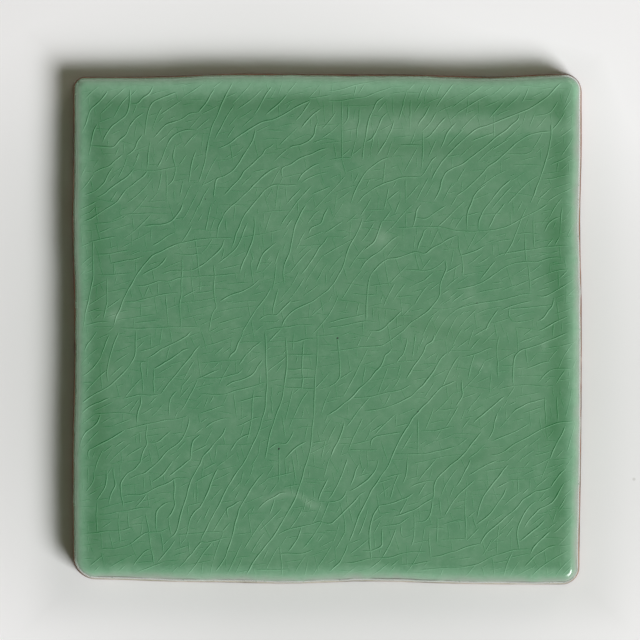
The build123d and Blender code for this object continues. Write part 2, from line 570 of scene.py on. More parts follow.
clayBody = {
    "grooveCount": 10,
    "grooveWidth": 4.0,
    "grooveDepth": 0.8,
    "grooveMargin": 11.0,
    "grooveWall": (1.66, 2.04),  # where a groove's wall starts and ends, from its middle
    "grooveWander": ((0.06, 3.0, 31),),  # amount, size and seed
    "footBevel": 0.4,
    "backInset": 0.05,  # how far inside the bevel's foot the back ends
    "hiddenTop": 5.0,  # the clay goes on inside the glaze up to here
    # lines of the back's grid: how far beyond the line of the grooves' ends each run of lines
    # starts or ends, and how many it has; then their places beside a groove's middle
    "edgeLines": (0.6, 12),
    "endLines": (0.3, -2.6, 14),
    "middleLines": (-4.0, 22),
    "rimLines": (1.2, 11),
    "grooveLines": (0, 0.8, 1.45, 1.66, 1.75, 1.84, 1.93, 2.02, 2.2, 2.8, 4.0),
    "bendMargin": 10.0,  # width of the back's edge over which the grid bends to the outline
    "wallHeights": (0.12, 0.28, 0.42, 0.8, 1.2, 1.6, 2.0, 2.4, 2.8, 3.2, 3.7, 4.3),
    # scuffs of the back: depth, size and seed, from the edge inwards, and not in the grooves
    "scuffs": ((0.05, 8.0, 32), (0.02, 1.8, 33)),
    "scuffReach": 3.0,
    "scuffGroove": (0.1, 0.7),
    # roughness of the wall: depth, size and seed of the coarse and the fine one, how they change
    # up the wall, and the heights between which both set in
    "coarseRough": (0.06, 2.2, 34),
    "coarseSlant": 3.0,
    "fineRough": (0.03, 0.9, 35),
    "fineStretch": (60.0, 9.0),
    "roughFrom": 0.05,
    "roughTo": 0.6,
    # the wall's smears: amount, size and seed of the ragged noises, and how they slant up the wall
    "raggedCoarse": ((1.0, 3.2, 36),),
    "raggedFine": ((0.6, 1.3, 37),),
    "raggedSlants": (5.0, 4.0),
    # they fade out between these distances from the outline, so that the back stays clean
    "wallFrom": 1.2,
    "wallTo": 2.4,
    "slip": (0.1, 0.12, 0.8, 0.2),  # how much slip ran down at the top, right, bottom and left
    "slipFrom": 0.15,
    "slipTo": 0.75,
    "slipHeights": (0.15, 0.7),
    "slipRagged": 0.3,
    # painted shade of the foot where it meets the floor, at the top, right, bottom and left
    "footShade": (0.7, 0.75, 0.6, 0.6),  # how dark the foot is at the top, right, bottom and left
    "footShadeNoise": ((0.45, 5.0, 38),),
    "footShadeRagged": 0.2,
    "footShadeFades": (0.6, 1.2),
    "footShadeStarts": (0.1, 0.3),
    # how much glaze ran thinly onto the clay, and how far under the glaze line it fades
    "wash": 0.5,
    "washFrom": 1.1,
    "washTo": 2.1,
    "washRagged": 0.6,
}
grooveReach = halfWidth - clayBody["grooveMargin"]


def clayLines():
    # lines of the back's grid: close together at the walls and ends of the grooves
    edgeGap, edgeCount = clayBody["edgeLines"]
    endFrom, endTo, endCount = clayBody["endLines"]
    middleGap, middleCount = clayBody["middleLines"]
    rimGap, rimCount = clayBody["rimLines"]
    edge = np.linspace(halfWidth, grooveReach + edgeGap, edgeCount)
    ends = np.linspace(grooveReach + endFrom, grooveReach + endTo, endCount)
    middle = np.linspace(grooveReach + middleGap, 0, middleCount)
    half = np.concatenate([edge, ends, middle])
    xs = np.unique(np.round(np.concatenate([-half, half]), 4))
    count = clayBody["grooveCount"]
    grooved = tileShape["height"] - 2 * clayBody["grooveMargin"] - clayBody["grooveWidth"]
    centres = grooved / (count - 1) * (np.arange(count) - (count - 1) / 2)
    beside = np.array(clayBody["grooveLines"])
    lines = (centres[:, None] + np.concatenate([-beside[:0:-1], beside])[None, :]).ravel()
    rim = np.linspace(grooveReach + rimGap, halfHeight, rimCount)
    ys = np.unique(np.round(np.concatenate([lines, rim, -rim]), 4))
    return xs, ys, centres


def grooveDepthAt(x, y, centres):
    # distance from the nearest groove's centre line, turned into a depth by a smooth step
    beyond = np.maximum(np.abs(x) - grooveReach + clayBody["grooveWidth"] / 2, 0)
    away = np.full_like(x, farAway)
    for centre in centres:
        away = np.minimum(away, np.hypot(beyond, y - centre))
    away = away + noiseLayers(x, y, clayBody["grooveWander"])
    return clayBody["grooveDepth"] * (1 - smooth(*clayBody["grooveWall"], away))


def clayWall(a, b):
    # the wall under the glaze, with a row for each height and a column for each place round the
    # outline: the outline at an inset of bevel + lean * height, pressed in by depth * (1 + noise)
    heights = np.array([*clayBody["wallHeights"], clayBody["hiddenTop"]])
    bevel = clayBody["footBevel"] * (1 - np.clip(heights / clayBody["footBevel"], 0, 1))
    lean = tileShape["clayLean"] / tileShape["glazeLine"]
    level, rowA = np.meshgrid(heights, a, indexing="ij")
    inset, rowB = np.meshgrid(bevel + lean * heights, b, indexing="ij")
    x, y = outlineAt(rowA, rowB, inset)
    angle = np.arctan2(y, x)
    coarseDepth, coarseSize, coarseSeed = clayBody["coarseRough"]
    coarse = coarseDepth * (1 + noiseAround(angle, coarseSize, coarseSeed, clayBody["coarseSlant"] * level))
    fineDepth, fineSize, fineSeed = clayBody["fineRough"]
    roundways, upwards = clayBody["fineStretch"]
    fine = fineDepth * (1 + softNoise(roundways * angle, upwards * level, fineSize, fineSeed))
    rough = smooth(clayBody["roughFrom"], clayBody["roughTo"], level) * (coarse + fine)
    shrink = 1 - rough / np.hypot(x, y)
    return np.stack([x * shrink, y * shrink, level], -1)


def clayMasks(x, y, z):
    # on the wall alone: slip that ran down it, most of it at the bottom side, the painted shade
    # of its foot, and the thin wash of glaze under the glaze line
    shares = sideShares(x, y)
    atWall = 1 - smooth(clayBody["wallFrom"], clayBody["wallTo"], edgeDistance(x, y))
    coarse, fine = clayBody["raggedSlants"]
    ragged = noiseLayers(x + coarse * z, y - coarse * z, clayBody["raggedCoarse"])
    ragged = ragged + noiseLayers(x, y + fine * z, clayBody["raggedFine"])
    slip = bySide(shares, clayBody["slip"]) + clayBody["slipRagged"] * ragged
    slip = smooth(clayBody["slipFrom"], clayBody["slipTo"], slip) * smooth(*clayBody["slipHeights"], z)
    # painted shade at the foot of the wall
    footShade = bySide(shares, clayBody["footShade"]) + noiseLayers(x, y, clayBody["footShadeNoise"])
    footShade = footShade * (1 - smooth(*clayBody["footShadeFades"], z + clayBody["footShadeRagged"] * ragged))
    footShade = np.clip(footShade * smooth(*clayBody["footShadeStarts"], z), 0, 1)
    under = tileShape["glazeLine"] - z + clayBody["washRagged"] * ragged
    wash = clayBody["wash"] * smooth(clayBody["washTo"], clayBody["washFrom"], under)
    return {"slip": slip * atWall, "footShade": footShade * atWall, "wash": wash * atWall}


def buildClay(material):
    # the back is a grid that keeps to the grooves in the middle and bends to the outline at its
    # edge; the wall goes up from its rim and a fan inside the glaze closes it
    xs, ys, centres = clayLines()
    u, v = np.meshgrid(xs / halfWidth, ys / halfHeight, indexing="ij")
    q = np.maximum(np.abs(u), np.abs(v))
    safeQ = np.maximum(q, 1e-9)
    a, b = u / safeQ, v / safeQ
    edgeX, edgeY = outlineAt(a, b, np.full_like(a, clayBody["footBevel"] + clayBody["backInset"]))
    toEdge = smooth(1 - clayBody["bendMargin"] / halfWidth, 1.0, q)
    x = u * halfWidth * (1 - toEdge) + q * edgeX * toEdge
    y = v * halfHeight * (1 - toEdge) + q * edgeY * toEdge
    groove = grooveDepthAt(x, y, centres)
    scuffs = sum(depth * (1 + softNoise(x, y, size, seed)) for depth, size, seed in clayBody["scuffs"])
    scuffs = scuffs * smooth(0.0, clayBody["scuffReach"], edgeDistance(x, y))
    z = groove + scuffs * (1 - smooth(*clayBody["scuffGroove"], groove))
    index = np.arange(x.size).reshape(x.shape)
    back = np.stack([x, y, z], -1).reshape(-1, 3)

    rim = gridRim(index)
    wall = clayWall(a.ravel()[rim], b.ravel()[rim])
    rows = np.concatenate([rim[None, :], len(back) + np.arange(wall[..., 0].size).reshape(-1, len(rim))])
    closed = np.append(rows, rows[:, :1], axis=1)
    points = np.concatenate([back, wall.reshape(-1, 3), [[0, 0, clayBody["hiddenTop"]]]])
    fan = fanFaces(rows[-1], len(points) - 1)
    faces = [gridQuads(index, (0, 3, 2, 1)), gridQuads(closed), fan]
    piece = makePiece("clayBody", points, faces, material)
    for name, values in clayMasks(*points.T).items():
        addMask(piece, name, values)
    print("clay body:", len(piece.data.polygons), "faces")


crackle = {
    "seed": 5,
    "step": 0.5,
    "halfWidth": 0.25,
    "height": 0.075,
    "sunk": 0.01,
    "narrowest": 0.45,  # width of a crack of no strength, as a share of the full width
    "litFrom": (0.777, -0.63),
    # where bases and ends, which nobody sees, lie in the UV square
    "hiddenPatch": ((0.1, 0.992), (0.9, 0.992), (0.9, 0.998), (0.1, 0.998)),
    # a crack weakens towards the rim, between these distances from the outline, down to this share
    "fadeFrom": (1.2, 4.5),
    "rimShare": 0.35,
    "stopAt": 1.2,
    # thickness near an open end: its share there, and the length over which it grows to full
    "taperTo": 0.25,
    "taperLength": 1.2,
    # how the strength varies along the way: mean, and amount, size and seed
    "strengthMean": 0.9,
    "strengthNoise": ((0.35, 2.2, 45), (0.25, 0.8, 48)),
    # strength of the drawn cracks: those that lie across the flow, and those that follow it, and
    # the turns from the mean heading between which one kind gives way to the other
    "drawnStrength": (0.75, 1.05),
    "acrossFrom": 22,
    "acrossTo": 40,
    "drawnWander": 0.07,
    "drawnWanderNoise": ((1.7, 46), (1.7, 47)),
    # each family that fills the space between them: heading ("flow", or degrees for the square
    # patches), spread of the heading, distance between starts, shortest and longest run, share
    # kept, only in patches, strength, and how near it may run beside another crack
    "families": (
        ("flow", 8.0, 4.5, 6.0, 22.0, 0.7, False, 0.75, 1.5),
        (9.0, 6.0, 3.4, 4.0, 14.0, 0.85, True, 0.6, 1.2),
        (97.0, 6.0, 3.2, 3.0, 12.0, 0.85, True, 0.6, 1.2),
        ("flow", 12.0, 2.8, 4.0, 12.0, 0.6, False, 0.7, 1.1),
        (10.0, 12.0, 2.4, 3.0, 10.0, 0.8, False, 0.52, 0.9),
        (98.0, 12.0, 2.4, 3.0, 10.0, 0.8, False, 0.52, 0.9),
        ("flow", 16.0, 2.0, 2.0, 5.0, 0.35, False, 0.6, 0.8),
    ),
    "startInset": 2.2,  # no crack starts nearer the outline than this
    "startClear": 0.7,  # nor nearer another, as a share of how near it may run
    "patchFrom": 0.3,
    "patchTo": 0.7,
    "flowThins": 0.45,  # share of the flow's starts that a square patch takes away
    "split": (0.25, 0.75),  # share of a crack's length that lies ahead of its start
    "crossing": (0.05, 0.3),  # share that may cross others, outside and inside patches
    "driftKept": 0.9,
    "driftStep": 1.6,
    "patchBend": ((6.0, 15.0, 44),),
    "besideTurn": 35,  # a crack runs beside another where they differ by less than this in degrees
    "fewestSteps": 3,
    "grownStrength": (0.7, 1.1),
    # where the flow turns away from its mean heading: middle x, y, reach and degrees
    "meanHeading": 54.0,
    "flowTurns": (
        (-47.0, 10.0, 20.0, -34.0),
        (-4.0, -28.0, 22.0, 20.0),
        (-46.0, -50.0, 16.0, -30.0),
        (42.0, 44.0, 22.0, -16.0),
        (-18.0, 42.0, 20.0, 12.0),
        (50.0, 2.0, 16.0, -30.0),
        (8.0, 14.0, 14.0, 6.0),
        (-30.0, -38.0, 16.0, 8.0),
        (42.0, -44.0, 22.0, -8.0),
        (16.0, 52.0, 12.0, 14.0),
    ),
    # its slow bends: how many degrees, how long, along which way, and the noises in both
    "bendTurn": 13,
    "bendLength": 38,
    "bendWay": (0.6, 0.8),
    "bendNoise": ((0.35, 26.0, 41),),
    "turnNoise": ((12, 12.0, 42),),
    # where the square patches are: middle x, y, reach
    "patches": (
        (-46.0, 16.0, 17.0),
        (-30.0, 6.0, 14.0),
        (0.0, -4.0, 12.0),
        (14.0, 4.0, 9.0),
        (52.0, 6.0, 13.0),
        (50.0, -16.0, 10.0),
        (-50.0, -48.0, 14.0),
        (-36.0, -56.0, 10.0),
        (18.0, -32.0, 11.0),
        (46.0, 27.0, 8.0),
        (4.0, 53.0, 9.0),
        (30.0, -54.0, 12.0),
        (-20.0, 26.0, 8.0),
    ),
    "patchNoise": ((0.25, 6.0, 43),),
}

# the cracks that show one by one, read off enlarged views of the photograph. A view is named by
# its upper left corner in the picture; under it stand its cracks, parted by strokes, each a row
# of points across and down in the view's own steps
crackReadings = {
    "dotsPerStep": 10 / 12.25,
    "joinWithin": 1.7,
    "joinFacing": -0.5,  # two ends join where the cosine between their ways is under this
}
crackViews = {
    (72, 75): """
        44 19 35 31 22 44 16 62 10 73 / 71 17 70 37 66 49 58 56 48 64 41 74 37 83 / 72 35 80 35 87 28
        95 22 100 12 / 129 21 110 28 98 35 93 46 91 58 89 74 / 88 46 78 53 71 62 66 73 58 80 50 88 40 88
        22 86 / 86 73 80 82 77 90 66 99 / 62 97 54 104 45 112 36 115 26 120 / 31 60 27 68 24 80 20 100 /
        76 115 68 124 58 131 48 138 40 145 30 150 / 50 113 44 122 39 132 30 141 16 147 / 93 117 86 125
        76 133 66 141 57 152 / 156 43 145 47 136 53 126 57 115 61 108 68 100 77 / 150 67 138 68 128 72
        120 79 115 90 108 107 104 114 / 96 80 94 92 93 104 92 115 / 87 117 104 117 118 114 131 112 /
        127 84 124 100 127 115 124 128 117 136 / 115 115 116 130 116 157 / 152 92 148 103 145 118 143 132""",
    (200, 75): """
        18 17 11 28 3 40 -3 48 / 42 7 34 20 27 35 22 48 15 63 11 78 8 92 6 106 2 120 -2 132 / 42 37 36 46
        30 56 24 67 18 79 / 88 14 83 21 76 32 72 40 66 49 / 107 23 98 34 88 42 80 49 / 135 31 122 37
        110 44 100 50 88 55 76 58 66 63 58 68 46 76 34 85 22 90 / 135 32 131 38 124 48 117 56 / 149 41
        140 47 132 55 124 65 / 68 66 66 76 60 88 54 97 48 107 40 117 30 124 21 127 18 140 17 150 / 91 84
        86 88 80 91 77 97 70 103 62 111 54 118 49 126 40 136 29 148 / 97 112 86 117 76 125 66 135 56 145
        44 157 / 157 89 146 92 136 97 122 102 112 109 100 115 101 125 / 147 108 136 113 126 121 119 131 /
        157 119 143 122 132 127 122 133 / 119 135 105 135 90 135 80 141 72 150 65 157 / 108 90 112 88
        124 85 134 80 140 72 141 65 144 58""",
    (328, 75): """
        0 20 18 17 35 12 50 9 65 6 / 0 32 20 31 30 29 46 27 58 22 70 18 80 14 / 70 26 60 33 56 42 51 52
        48 64 46 76 44 85 42 104 / 73 46 66 53 62 62 58 71 52 79 46 82 / 81 55 78 66 74 75 69 84 60 98 /
        17 30 17 60 17 90 18 105 22 121 / 25 34 25 44 24 54 18 62 / 39 40 38 56 36 66 35 78 / 157 6 148 18
        140 28 132 40 / 125 37 118 50 112 58 110 63 / 133 46 126 57 120 64 115 69 / 145 51 138 58 130 68
        124 75 118 78 / 157 58 150 66 145 73 142 82 138 90 / 157 88 148 97 140 106 133 116 127 128 /
        150 112 144 120 140 128 137 140 130 154 / 75 101 66 104 56 111 48 117 42 125 37 134 32 145 28 157
        / 113 125 100 125 88 126 78 130 66 134 55 140 45 147 36 157 / 134 99 127 105 123 112 118 120
        113 125 / 116 68 116 84 116 100 114 120 / 85 86 100 86 118 86 / 101 30 101 45 100 68 / 0 104
        14 102 30 102 / 95 127 95 157""",
    (456, 75): """
        130 8 122 16 115 24 105 32 92 40 78 46 65 51 50 57 38 62 26 66 15 74 0 87 / 78 47 76 54 68 61
        62 67 50 75 40 84 30 92 18 101 8 109 0 116 / 116 69 104 70 92 73 80 79 70 87 60 96 50 105 40 112
        32 121 22 131 12 140 0 148 / 125 32 121 39 115 46 105 49 96 50 / 67 128 58 136 50 145 40 157 /
        37 134 28 141 22 149 19 157 / 117 58 117 72 115 85 112 98 108 112 104 124 100 134 96 146 91 157 /
        62 96 75 97 88 96 95 92 / 70 110 90 110 105 111 / 104 128 118 127 130 124 140 122""",
    (72, 203): """
        54 1 44 6 34 12 24 19 14 23 / 20 48 30 46 42 43 54 41 / 136 0 133 8 128 15 122 22 112 26 100 27
        88 28 / 65 14 85 13 105 13 118 13 / 126 36 116 41 108 47 98 53 / 150 46 140 48 130 50 120 54
        110 59 100 64 92 71 85 80 78 90 73 100 67 110 62 120 58 131 54 140 51 150 / 116 65 111 73 104 79
        95 83 86 88 / 28 63 42 63 58 60 70 58 / 46 75 58 72 70 70 80 68 88 65 / 30 88 46 88 60 87 75 86 /
        26 47 25 60 26 75 26 90 23 105 20 120 17 132 15 145 13 157 / 43 90 43 105 43 120 41 132 38 144 /
        78 102 90 101 100 98 108 95 118 96 130 92 145 91 157 90 / 63 121 75 121 84 119 95 116 108 113
        118 111 130 110 / 110 87 122 83 135 83 148 82 157 77 / 135 66 135 82 134 95 134 110 132 125
        133 140 133 157 / 115 112 116 130 118 150 / 125 62 140 64 157 62 / 12 151 25 148 35 146 46 146 /
        60 153 80 154 100 153 130 152 157 152""",
    (200, 203): """
        13 2 11 13 9 22 7 34 / 43 0 36 6 30 13 27 20 23 28 21 44 / 66 2 60 8 55 14 51 22 48 30 44 38 42 46
        39 55 / 58 24 54 33 51 42 48 49 42 58 35 64 27 70 22 74 / 66 17 67 28 65 42 62 52 58 62 53 72
        50 80 49 86 / 94 48 86 54 79 60 75 66 72 74 69 84 / 130 2 125 10 121 18 117 27 114 38 112 50
        110 60 106 70 103 78 102 88 104 100 / 157 6 152 15 148 25 142 28 136 31 133 38 / 157 40 152 48
        146 55 141 64 135 73 129 81 124 87 / 30 45 27 54 20 62 13 68 6 74 0 78 / 0 44 16 43 40 43 / 5 89
        18 89 30 88 48 86 / 73 93 66 100 58 105 50 109 40 112 32 116 24 121 / 17 76 18 90 17 105 18 118
        20 128 16 134 13 145 11 157 / 22 148 32 145 42 142 52 139 / 96 105 93 115 90 127 89 137 / 112 119
        105 126 100 131 94 137 86 137 78 139 72 143 / 157 107 148 113 140 119 130 124 118 130 110 136
        104 143 100 151 / 80 156 95 153 108 152 125 149 140 150""",
    (328, 203): """
        42 19 38 31 32 43 26 54 22 66 19 76 13 88 8 97 0 106 / 66 22 63 32 60 40 56 48 50 53 44 58 / 86 40
        76 47 69 54 61 61 52 67 45 73 40 81 / 157 40 146 45 136 51 127 56 119 62 108 60 97 63 85 67 73 69
        64 75 56 83 51 92 49 103 48 112 47 126 47 145 / 84 30 97 30 110 29 125 29 140 30 157 34 / 122 31
        118 34 116 40 112 48 109 58 / 145 3 137 8 128 14 120 19 107 18 / 114 1 109 8 107 18 104 30 /
        143 70 136 76 128 81 118 83 105 82 94 82 / 144 70 145 80 141 90 138 100 137 111 133 120 128 126
        120 134 110 141 100 148 92 156 / 30 111 40 112 48 113 60 112 / 91 132 84 138 77 145 70 152 64 156
        48 156 / 0 147 14 143 28 140 45 136 / 0 153 15 151 30 148 48 145 60 146""",
    (456, 203): """
        42 0 36 6 31 15 28 24 28 34 / 60 0 54 8 48 15 44 23 40 31 / 113 1 102 8 92 13 82 18 72 24 62 29
        50 32 36 34 18 35 0 34 / 18 2 14 12 14 33 / 128 17 120 20 113 26 108 36 / 36 52 26 58 14 62 4 65 /
        140 52 125 53 110 54 98 56 84 58 72 60 58 62 46 67 / 49 70 42 78 36 86 30 93 / 132 67 120 67
        110 69 100 72 86 72 72 74 60 79 48 87 38 94 28 99 16 103 0 106 / 75 38 88 37 104 39 / 85 38 85 55
        86 72 / 95 16 95 38 96 55 / 130 5 129 18 128 40 / 141 81 124 83 112 87 102 91 91 96 / 88 75 90 90
        91 110 / 93 111 82 112 70 115 60 118 48 120 34 122 18 125 8 128 0 131 / 147 92 138 98 128 104
        118 110 110 114 98 114 / 120 116 118 126 112 134 107 141 100 145 / 93 120 80 123 66 127 56 131 /
        118 125 100 127 80 129 66 130 / 52 130 46 138 40 148 36 157 / 66 126 66 140 70 145 84 145 96 142 /
        137 139 128 143 118 148 108 154 100 157 / 3 40 4 55 8 70 8 90""",
    (72, 331): """
        30 1 24 10 18 18 15 26 / 46 4 42 14 38 24 33 36 27 44 19 51 10 57 / 57 2 52 14 49 22 46 33 44 43
        43 54 44 62 / 78 0 78 15 78 25 75 35 70 43 62 52 54 60 46 67 36 73 28 77 19 83 12 89 / 146 0 140 6
        130 12 120 17 110 22 101 28 93 33 / 145 21 137 23 130 28 120 35 110 41 100 47 / 157 17 150 25
        144 33 138 40 131 49 124 57 118 65 112 73 108 78 / 46 82 36 86 26 90 18 95 11 102 / 76 37 90 38
        86 38 86 55 87 75 / 100 47 100 60 101 77 / 62 83 74 80 84 78 98 79 108 77 / 85 79 84 90 80 103
        80 115 / 28 102 44 101 55 100 66 101 78 103 / 35 103 31 112 25 118 17 124 12 132 9 142 7 155 /
        140 105 128 108 116 109 104 112 92 114 80 117 66 121 / 65 121 56 127 46 133 36 138 26 143 21 146
        20 157 / 92 115 91 130 92 138 88 146 83 157 / 121 122 114 128 104 136 93 136 / 144 106 142 117
        138 127 131 137 124 142 116 148 109 155 / 129 73 122 80 119 90 119 103 / 157 127 149 134 146 146
        144 157""",
    (200, 331): """
        53 1 50 9 46 17 43 25 38 29 35 34 / 76 12 68 18 62 24 56 30 51 37 48 41 / 77 35 71 43 67 50 60 56
        50 60 40 63 31 68 / 53 46 48 51 38 54 28 57 8 58 0 57 / 24 47 14 51 6 55 -4 59 / 80 63 68 67 56 70
        44 73 32 77 18 78 0 77 / 80 80 68 81 58 84 46 87 / 30 91 20 94 10 98 0 101 / 38 107 28 107 18 111
        11 115 6 119 / 32 117 28 126 20 135 12 145 3 155 0 160 / 75 105 66 107 58 111 50 115 44 117 /
        62 126 53 129 46 134 41 141 37 147 / 80 0 81 20 81 40 82 60 81 80 80 95 76 108 73 120 68 132
        63 142 58 155 / 105 8 106 25 106 45 104 60 102 75 99 88 95 98 91 110 87 122 84 134 82 145 80 157 /
        107 13 120 13 130 10 143 9 / 107 29 120 29 142 29 / 105 47 118 47 130 46 142 48 / 144 0 144 20
        143 40 141 60 140 80 140 100 138 115 137 130 135 145 133 157 / 127 12 126 28 125 46 126 60 124 72
        / 107 58 125 58 142 57 / 92 66 106 69 122 70 141 72 / 115 122 111 130 106 138 94 138 85 144 /
        130 136 120 141 112 148 104 157""",
    (328, 331): """
        92 1 84 6 76 12 66 18 54 19 40 20 22 23 0 25 / 11 8 13 20 14 36 15 50 14 57 8 64 0 69 / 97 8 95 20
        92 28 87 34 84 39 / 79 20 75 26 70 30 68 36 64 44 58 50 52 58 46 64 39 70 32 78 26 84 18 90 10 97
        0 103 / 131 3 128 12 120 18 117 26 112 34 106 42 101 50 96 58 / 102 65 96 69 86 73 74 75 62 78
        50 81 38 82 30 82 / 147 26 140 32 134 41 129 50 123 58 117 66 110 72 103 79 94 84 86 88 76 92
        66 95 54 97 44 98 / 157 61 148 65 139 69 132 76 125 84 118 91 110 100 103 108 98 117 92 126 87 135
        82 145 78 157 / 20 112 16 126 12 136 7 145 3 155 / 90 124 78 126 66 128 58 130 54 133 52 142 /
        110 108 110 125 110 150 / 154 117 146 119 132 122 114 122 / 80 151 95 151 110 151 122 150 134 147
        145 145 157 141 / 25 146 42 146 60 146""",
    (456, 331): """
        8 32 18 30 30 26 38 22 46 20 / 7 60 7 70 8 78 5 85 0 92 / 60 80 52 86 44 93 36 100 28 106 21 113 /
        53 6 51 16 50 28 51 38 51 48 52 58 / 137 2 128 6 118 10 108 14 98 18 88 21 79 24 74 29 71 36 70 48
        70 60 71 67 / 116 37 106 39 96 43 84 47 / 142 46 130 46 118 47 112 51 106 57 101 63 / 53 71 62 69
        74 67 86 66 98 67 110 68 120 67 / 67 103 73 97 80 93 88 89 97 86 105 84 110 83 / 109 80 109 92
        110 104 110 114 / 124 80 124 92 125 104 124 112 / 150 111 138 111 128 112 118 115 108 119 98 124
        88 130 78 135 68 141 60 147 52 151 42 152 / 134 116 131 124 126 133 122 141 118 149 115 157 /
        51 100 48 110 46 120 43 127 39 133 / 31 124 25 131 18 140 12 148 6 155""",
    (72, 459): """
        26 15 27 22 26 28 22 34 17 41 / 42 14 42 28 40 36 36 42 30 51 / 31 53 30 64 30 76 31 90 / 51 10
        51 20 53 32 49 40 46 50 45 55 / 85 8 76 13 68 18 64 23 60 29 60 40 62 52 63 60 / 110 0 103 6 96 12
        90 17 80 20 70 25 / 124 2 118 10 113 17 106 23 98 28 / 146 0 138 6 130 12 124 17 119 21 / 144 24
        134 23 126 24 122 27 114 31 106 34 98 38 90 42 82 44 70 44 62 46 / 157 9 152 15 147 24 143 35
        140 46 137 56 134 66 131 77 128 88 125 93 120 97 / 125 24 126 36 125 48 126 55 122 66 116 73 /
        125 53 117 53 110 57 104 64 103 72 103 84 104 90 / 31 68 44 68 56 65 70 63 84 60 98 60 / 57 66
        57 80 58 92 59 104 / 16 92 28 91 40 89 52 88 64 87 73 85 76 89 / 90 66 92 76 94 85 95 97 97 110
        99 120 100 130 / 118 85 108 89 98 90 90 91 82 96 76 101 70 105 62 108 52 110 44 110 34 111 /
        97 110 90 113 84 119 79 125 75 131 / 157 102 152 109 147 116 142 121 137 127 132 132 / 157 58
        151 64 146 71 143 80 142 88 139 96""",
    (200, 459): """
        22 12 18 19 14 28 11 37 7 46 3 54 0 60 / 56 0 50 10 44 18 39 26 34 34 30 42 26 50 22 58 17 67
        12 77 8 86 3 95 1 100 / 131 0 128 12 125 24 121 36 117 48 112 58 106 68 100 78 94 88 88 97 80 107
        72 117 65 127 60 136 56 144 / 78 17 72 23 67 30 62 37 57 46 52 54 48 62 46 70 43 79 41 88 39 96
        36 105 33 114 30 122 25 130 19 138 / 52 51 46 53 40 57 34 60 34 72 / 37 96 28 97 20 100 10 102
        2 102 / 107 41 98 42 92 46 84 50 76 56 71 62 / 157 24 152 34 148 42 145 52 / 94 93 100 90 106 87
        114 85 124 83 132 81 138 80 146 77 156 76 / 124 84 121 94 117 102 112 109 108 114 / 98 106 99 118
        100 130 101 144 / 94 116 108 116 124 116 132 114 138 111 / 68 136 84 136 98 136 108 135""",
    (328, 459): """
        24 0 20 11 16 22 12 31 8 38 4 45 0 50 / 38 6 34 14 31 24 28 33 / 23 38 20 45 15 50 8 52 0 53 /
        62 0 60 9 56 17 51 23 45 28 38 33 32 37 26 40 / 76 1 72 12 67 18 62 26 57 33 53 39 50 46 46 54
        42 62 38 69 35 77 32 86 29 94 26 101 / 46 40 40 43 34 50 28 56 22 62 16 68 10 74 4 79 0 83 / 97 0
        97 12 95 22 92 30 / 104 42 98 47 90 50 82 53 72 56 62 58 60 62 56 68 53 78 51 88 51 100 52 112
        53 124 / 60 42 61 52 62 58 64 66 76 66 / 157 2 150 8 144 14 138 19 133 25 130 34 130 43 129 50 /
        130 27 118 28 108 31 100 35 / 129 48 122 52 114 57 106 62 98 65 90 68 80 71 / 128 50 127 60 125 68
        120 75 108 78 / 134 72 134 86 133 104 / 100 71 94 75 88 79 78 81 66 83 / 105 66 106 76 106 88
        105 98 102 107 / 90 80 90 92 92 96 104 93 / 66 86 66 100 66 106 60 110 52 113 42 112 / 24 104
        22 112 18 120 14 127 8 132 2 138 / 124 88 124 100 125 112 126 122 / 157 112 148 115 140 118
        126 120 / 19 127 30 127 40 125 52 122 66 121 80 120 88 117 96 115 104 114 120 114 / 88 130 104 129
        116 127 126 125""",
    (456, 459): """
        18 0 14 10 9 19 4 29 0 34 / 64 7 58 14 52 22 46 29 40 37 35 44 31 52 28 62 26 72 / 62 35 58 44
        52 53 46 62 40 69 34 74 26 80 / 136 11 128 18 122 26 116 35 / 116 35 108 38 98 40 90 45 82 50
        76 58 70 64 62 70 54 77 46 84 38 91 33 98 30 105 / 134 28 130 34 126 41 122 48 118 53 110 58
        102 62 96 68 90 74 86 80 84 84 / 98 52 90 58 84 66 80 74 76 84 75 94 76 102 78 112 / 109 75 102 82
        94 88 86 95 78 101 / 116 88 108 95 100 103 94 110 91 118 / 123 106 114 108 106 113 98 118 92 124
        84 132 / 30 104 20 106 10 109 0 114 / 92 111 80 111 70 112 60 115 50 118 42 121 34 125 26 129
        18 131 8 132 2 130 / 12 68 12 82 12 100""",
}


def flowHeading(x, y):
    # mean heading, plus a bump of degrees at each named place, plus slow bends along the way
    degrees = np.full_like(x, crackle["meanHeading"])
    for middleX, middleY, reach, turn in crackle["flowTurns"]:
        degrees = degrees + turn * np.exp(-((x - middleX) ** 2 + (y - middleY) ** 2) / reach**2)
    wayX, wayY = crackle["bendWay"]
    along = (x * wayX + y * wayY) / crackle["bendLength"] + noiseLayers(x, y, crackle["bendNoise"])
    degrees = degrees + crackle["bendTurn"] * np.sin(2 * math.pi * along)
    return degrees + noiseLayers(x, y, crackle["turnNoise"])


def patchShare(x, y):
    # sum of exp(-(distance / reach)^3) over the square patches, with a little noise
    share = np.zeros_like(x)
    for middleX, middleY, reach in crackle["patches"]:
        share = share + np.exp(-(((x - middleX) ** 2 + (y - middleY) ** 2) / reach**2) ** 1.5)
    return share + noiseLayers(x, y, crackle["patchNoise"])


def cellOf(grid, x, y):
    # the cell of the grid that a point lies in: its column and row
    size = grid["name"].shape[0]
    column = np.clip(((x + halfWidth) / crackle["step"]).astype(int), 0, size - 1)
    row = np.clip(((y + halfHeight) / crackle["step"]).astype(int), 0, size - 1)
    return column, row


def turnBetween(one, other):
    # the angle between two lines in degrees, from 0 to 90
    return np.abs((one - other + 90) % 180 - 90)


